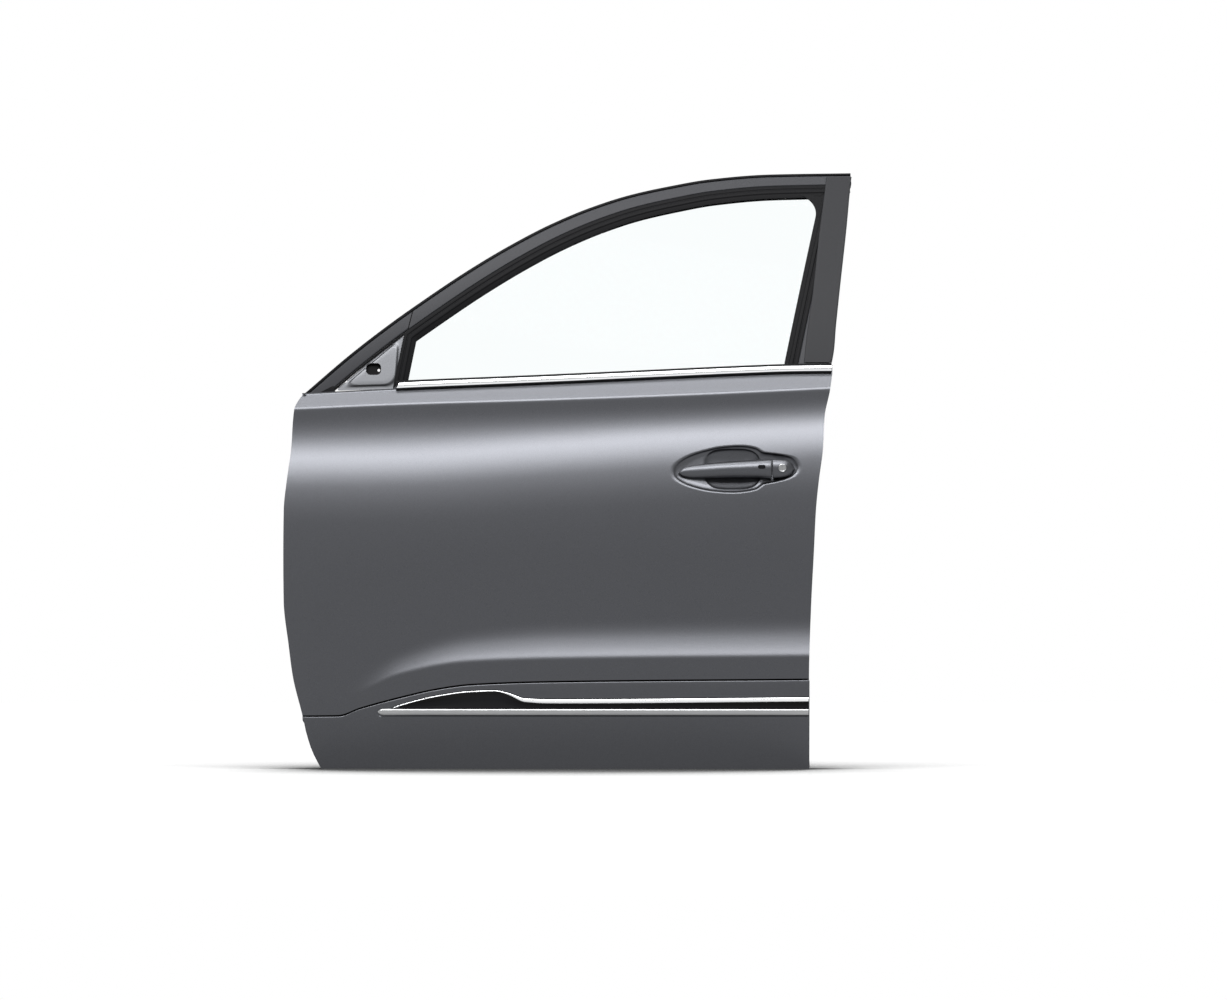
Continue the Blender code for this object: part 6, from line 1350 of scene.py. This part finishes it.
@dataclass
class SailPlate:
    """Bare pressed plate for the outside mirror, and the rubber wedge under its front corner."""

    corners: Knots = ((335.5, 390.8), (404.0, 333.0), (399.5, 389.0))
    out: float = 0.0045
    wall: float = 0.0016
    emboss: float = 0.004
    slot_px: tuple[float, float] = (374, 369.5)
    slot: tuple[float, float] = (0.030, 0.024)
    slot_radius: float = 0.009
    holes: Knots = ((391.5, 343), (346, 381))
    hole: float = 0.0035
    rings: Knots = ((1, 0), (0.93, 0), (0.86, 0), (0.83, 0.08), (0.80, 0.35), (0.77, 0.75), (0.745, 0.96),
                    (0.72, 1), (0.5, 1), (0.25, 1))
    liner: float = 0.009
    passage: float = 0.0028
    passage_px: tuple[float, float] = (379, 370)
    wedge: Knots = ((319, 393.2), (334.5, 385.5), (336, 393.4))
    wedge_wall: float = 0.003
    wedge_reach: float = 2.2
    wedge_levels: Knots = ((0.0, 1.0), (0.65, 1.0), (0.9, 0.97), (1.0, 0.9))
    liner_levels: Knots = ((1.0, 0.0), (1.0, 0.3), (1.0, 0.8), (0.94, 1.0), (0.6, 1.0), (0.3, 1.0))
    corner_reach: tuple[float, float] = (6, 18)
    reach_growth: float = 3.4
    cut: float = 0.03
    liner_cut: float = 0.1

    def plane(self) -> tuple[Array, Array]:
        """Middle and outward normal of the plate through its three corners."""
        x, z = VIEW.across(np.array(self.corners)[:, 0]), VIEW.up(np.array(self.corners)[:, 1])
        spots = np.stack([x, DRUM.world_y(x, z, self.out), z], axis=-1)
        normal = np.cross(spots[1] - spots[0], spots[2] - spots[0])
        return spots.mean(axis=0), normal / np.linalg.norm(normal) * (-1 if normal[1] > 0 else 1)

    def place(self, px: Array, py: Array, out: Array = 0.0) -> Array:
        """World points of pixels on the plate's plane, moved out from it."""
        middle, normal = self.plane()
        x, z = np.broadcast_arrays(VIEW.across(px), VIEW.up(py))
        y = middle[1] - (normal[0] * (x - middle[0]) + normal[2] * (z - middle[2])) / normal[1]
        return np.stack([x, y, z], axis=-1) + normal * np.asarray(out)[..., None]

    def triangle(self, reach: float) -> Array:
        """The plate's outline in pixels, with its corners rounded by a reach."""
        corners = np.array(self.corners, float)[None]
        return round_corners(corners, reach, True, 14)[0]

    def build(self) -> None:
        """Make the plate with its raised field, slot and holes, then its sleeve and wedge."""
        heart = np.mean(self.corners, axis=0)
        rings = []
        least, most = self.corner_reach
        for share, rise in self.rings:
            outline = self.triangle(least + (most - least) * min(1, (1 - share) * self.reach_growth))
            flat = heart + (outline - heart) * share
            rings.append(self.place(flat[:, 0], flat[:, 1], np.full(len(flat), rise * self.emboss)))
        rings = np.array(rings)
        normal = self.plane()[1]
        slot = round_box(*self.slot, self.slot_radius)
        cutters = [prism(slot, self.place(*self.slot_px), normal, self.cut)]
        cutters += [prism(circle(self.hole, 24), self.place(*spot), normal, self.cut) for spot in self.holes]
        Piece("sail_plate", Patchwork().grid(rings, ring=True).cap(rings[-1]), BARE, Slot.PRIMER,
              nodes=("mirror_sail_plate",), wall=self.wall, outward=OUTWARD, cutters=cutters).make()
        self.build_liner(normal)
        self.build_wedge()

    def build_wedge(self) -> bpy.types.Object:
        """Rubber wedge under the plate's front corner, which narrows to its outer face."""
        outline = round_corners(np.array(self.wedge, float)[None], self.wedge_reach, True, 6)[0]
        middle = outline.mean(axis=0)
        loops = []
        for level, share in self.wedge_levels:
            flat = middle + (outline - middle) * share
            out = WindowFrame.out + self.wedge_wall * level + WindowFrame.gap * 2
            x, z = VIEW.across(flat[:, 0]), VIEW.up(flat[:, 1])
            loops.append(np.stack([x, DRUM.world_y(x, z, out), z], axis=-1))
        return Piece("corner_wedge", loft(np.array(loops)), RUBBER, Slot.RUBBER,
                     nodes=("sail_corner_rubber",)).make()

    def build_liner(self, normal: Array) -> bpy.types.Object:
        """Black sleeve behind the cable slot, with its passage."""
        flat = round_box(*self.slot, self.slot_radius)
        sideways = np.cross((0, 0, 1), normal)
        sideways /= np.linalg.norm(sideways)
        upright = np.cross(normal, sideways)
        middle = self.place(*self.slot_px) + normal * (self.emboss - self.wall)
        rings = np.array([middle + share * (flat[:, :1] * sideways + flat[:, 1:] * upright)
                          - normal * deep * self.liner for share, deep in self.liner_levels])
        hole = prism(circle(self.passage, 24), self.place(*self.passage_px), normal, self.liner_cut)
        return Piece("slot_liner", Patchwork().grid(rings, ring=True).cap(rings[-1]), RUBBER, Slot.RUBBER,
                     wall=self.wall / 2, outward=OUTWARD, cutters=[hole], offset=1).make()


@dataclass
class Garnish:
    """Painted sill cladding with its recess, bright strips and black insert."""

    gap: float = 1.6
    front: float = 304
    rear: float = 808.5
    upper: Knots = ((300, 717), (379, 711.5), (400, 704), (440, 694), (470, 690), (495, 689), (510, 692),
                    (525, 697), (550, 698), (810, 696))
    low: float = 715.5
    nose_px: float = 376
    front_step_px: float = 3
    recess_px: tuple[float, float] = (379, 560)
    behind_px: float = 565
    land_px: float = 1.8
    top_roll: Knots = ((0, 0.0045), (0, 0.0016), (0.15, 0.0008), (0.45, 0.00025))
    top_end_px: float = 0.9
    heel_px: float = 3.2
    heel_roll: Knots = ((1.6, 0), (0.6, 0.0003), (0.12, 0.0012), (0, 0.0028))
    wall: float = 0.0025
    recess: float = 0.007
    recess_fade: Knots = ((379, 0), (392, 0.6), (430, 1))
    step: float = 0.0101
    strip_span: tuple[float, float] = (394, 807.5)
    strip_height: Knots = ((376, 0.0022), (500, 0.0026), (525, 0.0075), (560, 0.0085), (810, 0.0085))
    strip_rise: float = 0.003
    insert_span: tuple[float, float] = (400, 807.5)
    satin_rows: tuple[float, float] = (708, 714)
    satin_span: tuple[float, float] = (379, 807.5)
    satin_tip: Knots = ((379, 0.3), (382, 0.85), (386, 1), (810, 1))
    satin_split: tuple[float, float] = (388, 390)
    satin_floor: float = -0.0003
    strip_edge: float = 0.55
    strip_flat: tuple[float, float] = (0.2, 0.8)
    chrome_reach: float = 0.0018
    satin_reach: float = 0.0016
    insert_face: tuple[float, float] = (0.0012, 0.0018)
    wall_px: float = 0.3
    floor_gap: float = 0.0005

    def fade(self, px: Array) -> Array:
        """Depth of the recess at pixel columns."""
        return smooth(px, self.recess_fade) * self.recess

    def build_cladding(self) -> bpy.types.Object:
        """Cladding: rows of (pixel row, depth) from its rolled top edge over the recess to the heel."""
        px = np.concatenate([[self.front], np.linspace(self.front + self.front_step_px, self.nose_px, 24),
                             np.linspace(*self.recess_px, 90), np.linspace(self.behind_px, self.rear, 60)])
        top = smooth(px, SIDE.skin_end) + self.gap
        upper = np.minimum(smooth(px, self.upper), self.low - self.gap)
        fade = self.fade(px)
        wall = self.wall_px
        none = 0 * px
        edge = top + self.top_end_px
        land = np.maximum(upper - wall, top + self.land_px)
        rows = [(top + down, none + deep) for down, deep in self.top_roll]
        rows += [(edge, none), ((edge + land) / 2, none), (land, none),
                 (np.maximum(upper, land + wall), fade),
                 (np.maximum(self.low - wall, land + wall * 2), fade),
                 (np.maximum(self.low, land + wall * 3), none)]
        last = rows[-1][0]
        rows += [(last + (VIEW.bottom - self.heel_px - last) * t, none) for t in np.linspace(0.04, 1, 24)]
        rows += [(none + VIEW.bottom - up, none + deep) for up, deep in self.heel_roll]
        rows += [(none + VIEW.bottom, none + self.step)]
        py = np.stack([r[0] for r in rows])
        back = np.stack([r[1] for r in rows])
        x = np.broadcast_to(px, py.shape).copy()
        start = smooth(SIDE.skin_end[0][1], SIDE.front)
        blend = np.clip((self.nose_px - px) / (self.nose_px - self.front), 0, 1)
        x += (smooth(py, SIDE.front) - start) * blend
        grid = VIEW.points(x, py, SIDE.depth(x, py) + back)
        return Piece("sill_cladding", Patchwork().grid(grid), PAINT, Slot.PAINT, nodes=("lower_garnish",),
                     wall=self.wall, outward=OUTWARD, sharp=40).make()

    def strip(self, px: Array, high: Array, low: Array, proud: Array, floor: Array,
              reach: float) -> Patchwork:
        """Raised strip between pixel rows, standing proud of the side, with its back at floor depth."""
        edge = -proud * self.strip_edge
        start, end = self.strip_flat
        shares = ((0, floor), (0, edge), (start, -proud), (end, -proud), (1, edge), (1, floor))
        corners = tuple((VIEW.up(high + (low - high) * s), d + 0 * px) for s, d in shares)
        section = rounded_sections(corners, reach, True)
        rows = VIEW.row(section[..., 0])
        return loft(VIEW.points(px[:, None], rows, SIDE.depth(px[:, None], rows) + section[..., 1]))

    def build_chrome(self) -> bpy.types.Object:
        """Chrome strip along the recess's upper edge."""
        px = np.linspace(*self.strip_span, 170)
        top = smooth(px, self.upper) + self.wall_px
        under = top + VIEW.tall(smooth(px, self.strip_height))
        floor = self.fade(px) - self.floor_gap
        patches = self.strip(px, top, under, self.strip_rise + 0 * px, floor, self.chrome_reach)
        return Piece("sill_bright_strip", patches, CHROME, Slot.CHROME, nodes=("garnish_chrome_strip",),
                     sharp=50).make()

    def build_satin(self) -> bpy.types.Object:
        """Satin bar along the recess's lower edge, with a pointed front end."""
        px = np.concatenate([np.linspace(self.satin_span[0], self.satin_split[0], 16),
                             np.linspace(self.satin_split[1], self.satin_span[1], 90)])
        middle, half = sum(self.satin_rows) / 2, (self.satin_rows[1] - self.satin_rows[0]) / 2
        share = smooth(px, self.satin_tip)
        floor = np.where(px >= self.insert_span[0], self.fade(px) - self.floor_gap, self.satin_floor)
        proud = self.strip_rise * (self.strip_edge + (1 - self.strip_edge) * share)
        patches = self.strip(px, middle - half * share, middle + half * share, proud, floor,
                             self.satin_reach)
        return Piece("sill_satin_bar", patches, SATIN, Slot.SATIN, nodes=("garnish_satin_strip",),
                     sharp=50).make()

    def build_insert(self) -> bpy.types.Object:
        """Black insert between the two strips, whose face comes forward towards its foot."""
        px = np.linspace(*self.insert_span, 140)
        high = smooth(px, self.upper) + self.wall_px * 2 + VIEW.tall(smooth(px, self.strip_height))
        low = self.satin_rows[0] - self.wall_px
        floor = self.fade(px) - self.floor_gap
        t = np.linspace(0, 1, 7)
        rows = high[:, None] + (low - high[:, None]) * t
        least, growth = self.insert_face
        face = floor[:, None] - least - growth * ease(t)
        front = VIEW.points(px[:, None], rows, SIDE.depth(px[:, None], rows) + face)
        ends = np.stack([low + 0 * high, high], axis=1)
        back = VIEW.points(px[:, None], ends, SIDE.depth(px[:, None], ends) + floor[:, None])
        return Piece("sill_black_insert", loft(np.concatenate([front, back], axis=1)), GLOSS_BLACK,
                     Slot.GLOSS_BLACK, nodes=("garnish_black_insert",)).make()

    def build(self) -> None:
        """Make the cladding and its trim."""
        self.build_cladding()
        self.build_chrome()
        self.build_satin()
        self.build_insert()


@dataclass
class Studio:
    """Floor, backdrop, lamps and the long-lens camera straight on."""

    distance: float = 28.0
    middle_px: tuple[float, float] = (613.5, 500)
    frame_width: float = 1227
    plane_depth: float = 0.14
    sensor: float = 36.0
    plain_colour: tuple[float, float, float] = (0.94, 0.97, 1.0)
    plain_level: float = 0.42
    floor_radius: float = 9.0
    floor_crowding: float = 1.5
    floor_drop: float = 0.0005
    floor_sides: int = 64
    floor_colour: tuple[float, float, float] = (0.06, 0.06, 0.06)
    floor_glow: float = 1.0
    seen_level: float = 0.75
    mirrored_shade: float = 0.35
    shadow_reach: float = 2.0
    shadow_samples: int = 16
    shadow_range: tuple[float, float] = (0.66, 0.95)
    aim: tuple[float, float, float] = (0.5, 0, -0.1)
    lamps: tuple[tuple[str, tuple[float, float, float], tuple[float, float], float], ...] = (
        ("key_strip", (0.3, -2.9, 2.7), (4.6, 1.7), 12.5),
        ("overhead", (0.5, -0.8, 3.6), (5.0, 1.3), 6.5),
        ("rear_soft", (0.5, 4.0, 3.2), (5.0, 1.5), 1.5))

    def seen_rays(self, tree: bpy.types.NodeTree) -> bpy.types.NodeSocket:
        """1 on camera, glossy and transmission rays, 0 on the rays that carry the lighting."""
        path = tree.nodes.new("ShaderNodeLightPath")
        result = path.outputs["Is Camera Ray"]
        for kind in ("Is Glossy Ray", "Is Transmission Ray"):
            either = tree.nodes.new("ShaderNodeMath")
            either.operation = "MAXIMUM"
            tree.links.new(result, either.inputs[0])
            tree.links.new(path.outputs[kind], either.inputs[1])
            result = either.outputs[0]
        return result

    def build_world(self) -> None:
        """White for camera and transmission rays, a little less for mirrored ones, plain for the rest."""
        world = bpy.data.worlds.new("studio")
        bpy.context.scene.world = world
        world.use_nodes = True
        tree = world.node_tree
        tree.nodes.clear()
        out = tree.nodes.new("ShaderNodeOutputWorld")
        plain, white = tree.nodes.new("ShaderNodeBackground"), tree.nodes.new("ShaderNodeBackground")
        plain.inputs["Color"].default_value = (*self.plain_colour, 1)
        plain.inputs["Strength"].default_value = self.plain_level
        rays = tree.nodes.new("ShaderNodeLightPath")
        mirrored = tree.nodes.new("ShaderNodeMath")
        mirrored.operation = "GREATER_THAN"
        level = tree.nodes.new("ShaderNodeMapRange")
        level.inputs["To Min"].default_value, level.inputs["To Max"].default_value = 1.0, self.seen_level
        tree.links.new(rays.outputs["Is Glossy Ray"], mirrored.inputs[0])
        tree.links.new(rays.outputs["Is Transmission Ray"], mirrored.inputs[1])
        tree.links.new(mirrored.outputs[0], level.inputs["Value"])
        tree.links.new(level.outputs["Result"], white.inputs["Strength"])
        white.inputs["Color"].default_value = (1, 1, 1, 1)
        mix = tree.nodes.new("ShaderNodeMixShader")
        tree.links.new(self.seen_rays(tree), mix.inputs["Fac"])
        tree.links.new(plain.outputs[0], mix.inputs[1])
        tree.links.new(white.outputs[0], mix.inputs[2])
        tree.links.new(mix.outputs[0], out.inputs["Surface"])

    def build_floor(self) -> None:
        """Pale disc under the door whose glow carries a painted shadow near the door and fades into the white
        background.
        """
        low = CAD_BOX[0][2]
        radius = np.linspace(0, 1, 24)[1:, None] ** self.floor_crowding * self.floor_radius
        turn = np.linspace(0, 2 * math.pi, self.floor_sides, endpoint=False)
        centre = (CAD_BOX[0] + CAD_BOX[1]) / 2
        x, y = centre[0] + radius * np.cos(turn), centre[1] + radius * np.sin(turn)
        grid = np.stack([x, y, np.full(x.shape, low - self.floor_drop)], axis=-1)
        data = Patchwork().grid(grid, ring=True).cap(grid[0]).data("floor", (0, 0, 1))
        data.materials.append(self.floor_material())
        floor = bpy.data.objects.new("floor", data)
        bpy.context.scene.collection.objects.link(floor)

    def floor_material(self) -> bpy.types.Material:
        """Dark matte floor plus a glow, as white as the background, that fades where things stand near: a
        painted shadow from ambient occlusion, seen in part in reflections too.
        """
        material = bpy.data.materials.new("pale_floor")
        material.use_nodes = True
        tree = material.node_tree
        tree.nodes.clear()
        out = tree.nodes.new("ShaderNodeOutputMaterial")
        matte, glow = tree.nodes.new("ShaderNodeBsdfDiffuse"), tree.nodes.new("ShaderNodeEmission")
        matte.inputs["Color"].default_value = (*self.floor_colour, 1)
        near = tree.nodes.new("ShaderNodeAmbientOcclusion")
        near.inputs["Distance"].default_value = self.shadow_reach
        near.samples = self.shadow_samples
        # Painted shadow: ambient occlusion darkens the floor's glow near the door, and mirrored rays see a
        # share of it as a painted reflection of that shadow.
        shade = tree.nodes.new("ShaderNodeMapRange")
        shade.interpolation_type = "SMOOTHSTEP"
        shade.inputs["From Min"].default_value, shade.inputs["From Max"].default_value = self.shadow_range
        shade.inputs["To Max"].default_value = self.floor_glow
        level = tree.nodes.new("ShaderNodeMath")
        level.operation = "MULTIPLY"
        total = tree.nodes.new("ShaderNodeAddShader")
        camera = tree.nodes.new("ShaderNodeLightPath").outputs["Is Camera Ray"]
        shaded = tree.nodes.new("ShaderNodeMix")
        shaded.inputs["A"].default_value = self.floor_glow
        tree.links.new(near.outputs["AO"], shade.inputs["Value"])
        weight = tree.nodes.new("ShaderNodeMapRange")
        weight.inputs["To Min"].default_value = self.mirrored_shade
        tree.links.new(camera, weight.inputs["Value"])
        tree.links.new(weight.outputs["Result"], shaded.inputs["Factor"])
        tree.links.new(shade.outputs["Result"], shaded.inputs["B"])
        tree.links.new(shaded.outputs["Result"], level.inputs[0])
        tree.links.new(self.seen_rays(tree), level.inputs[1])
        tree.links.new(level.outputs[0], glow.inputs["Strength"])
        tree.links.new(matte.outputs[0], total.inputs[0])
        tree.links.new(glow.outputs[0], total.inputs[1])
        tree.links.new(total.outputs[0], out.inputs["Surface"])
        return material

    def lamp(self, name: str, place: tuple[float, float, float], size: tuple[float, float],
             radiance: float) -> None:
        """Rectangular soft lamp aimed at the door, whose power is pi times its area times its radiance."""
        light = bpy.data.lights.new(name, "AREA")
        light.shape = "RECTANGLE"
        light.size, light.size_y = size
        light.energy = radiance * math.pi * size[0] * size[1]
        item = bpy.data.objects.new(name, light)
        item.location = place
        aim = Vector(self.aim) - Vector(place)
        item.rotation_euler = aim.to_track_quat("-Z", "Y").to_euler()
        bpy.context.scene.collection.objects.link(item)

    def build_camera(self) -> None:
        """Long lens straight on to the door, framed as the photograph."""
        width = self.frame_width * VIEW.length / (VIEW.right - VIEW.left)
        data = bpy.data.cameras.new("camera")
        data.type = "PERSP"
        data.sensor_fit = "HORIZONTAL"
        data.sensor_width = self.sensor
        data.lens = self.sensor * self.distance / width
        data.clip_end = 200
        camera = bpy.data.objects.new("camera", data)
        x, z = VIEW.across(self.middle_px[0]), VIEW.up(self.middle_px[1])
        camera.location = (float(x), self.plane_depth - VIEW.hinge_depth - self.distance, float(z))
        camera.rotation_euler = (math.pi / 2, 0, 0)
        bpy.context.scene.collection.objects.link(camera)
        bpy.context.scene.camera = camera

    def build(self) -> None:
        """Set the view transform and make world, floor, lamps and camera."""
        bpy.context.scene.view_settings.view_transform = "Standard"
        self.build_world()
        self.build_floor()
        for lamp in self.lamps:
            self.lamp(*lamp)
        self.build_camera()


@dataclass
class CarriedNodes:
    """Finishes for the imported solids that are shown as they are."""

    finishes: tuple[tuple[str, Finish], ...] = (
        ("inner_panel", PRIMER), ("division_channel", FRAME_PAINT), ("rear_guide_channel", FRAME_PAINT),
        ("belt_reinforcement_inner", PRIMER), ("belt_seal_inner", RUBBER),
        ("belt_reinforcement_outer", PRIMER), ("hinge_plate_upper", PRIMER),
        ("hinge_plate_lower", PRIMER), ("glass_carriage", PLASTIC),
        ("regulator_rail", ZINC), ("rail_bracket_upper", ZINC), ("rail_bracket_lower", ZINC),
        ("cable_guide_upper", PLASTIC), ("cable_guide_lower", PLASTIC), ("drum_housing", ZINC),
        ("regulator_motor", GLOSS_BLACK), ("regulator_cable_upper", PLASTIC),
        ("regulator_cable_lower", PLASTIC), ("lock_housing", ZINC), ("handle_carrier", PLASTIC),
        ("release_cable", PLASTIC), ("latch_case", ZINC), ("latch_screw_1", ZINC), ("latch_screw_2", ZINC),
        ("latch_screw_3", ZINC), ("latch_fork", ZINC), ("latch_pawl", ZINC), ("latch_actuator", PLASTIC),
        ("impact_beam", PRIMER), ("beam_bracket_front", PRIMER), ("beam_bracket_rear", PRIMER),
        ("perimeter_seal", RUBBER))

    def dress(self) -> None:
        """Assign each finish to its node's material slots."""
        for name, finish in self.finishes:
            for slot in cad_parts[name].material_slots:
                slot.material = finish.material()
        log.info("carried nodes: %d", len(self.finishes))


def main() -> None:
    """Build the studio and every piece in order."""
    logging.basicConfig(level=logging.INFO, format="%(name)s %(message)s")
    Studio().build()
    OuterSkin().build()
    Garnish().build()
    Handle().build()
    trim = BeltTrim()
    trim.build_chrome()
    trim.build_seal()
    WindowFrame().build()
    SailPlate().build()
    CarriedNodes().dress()


if __name__ == "__main__":
    main()
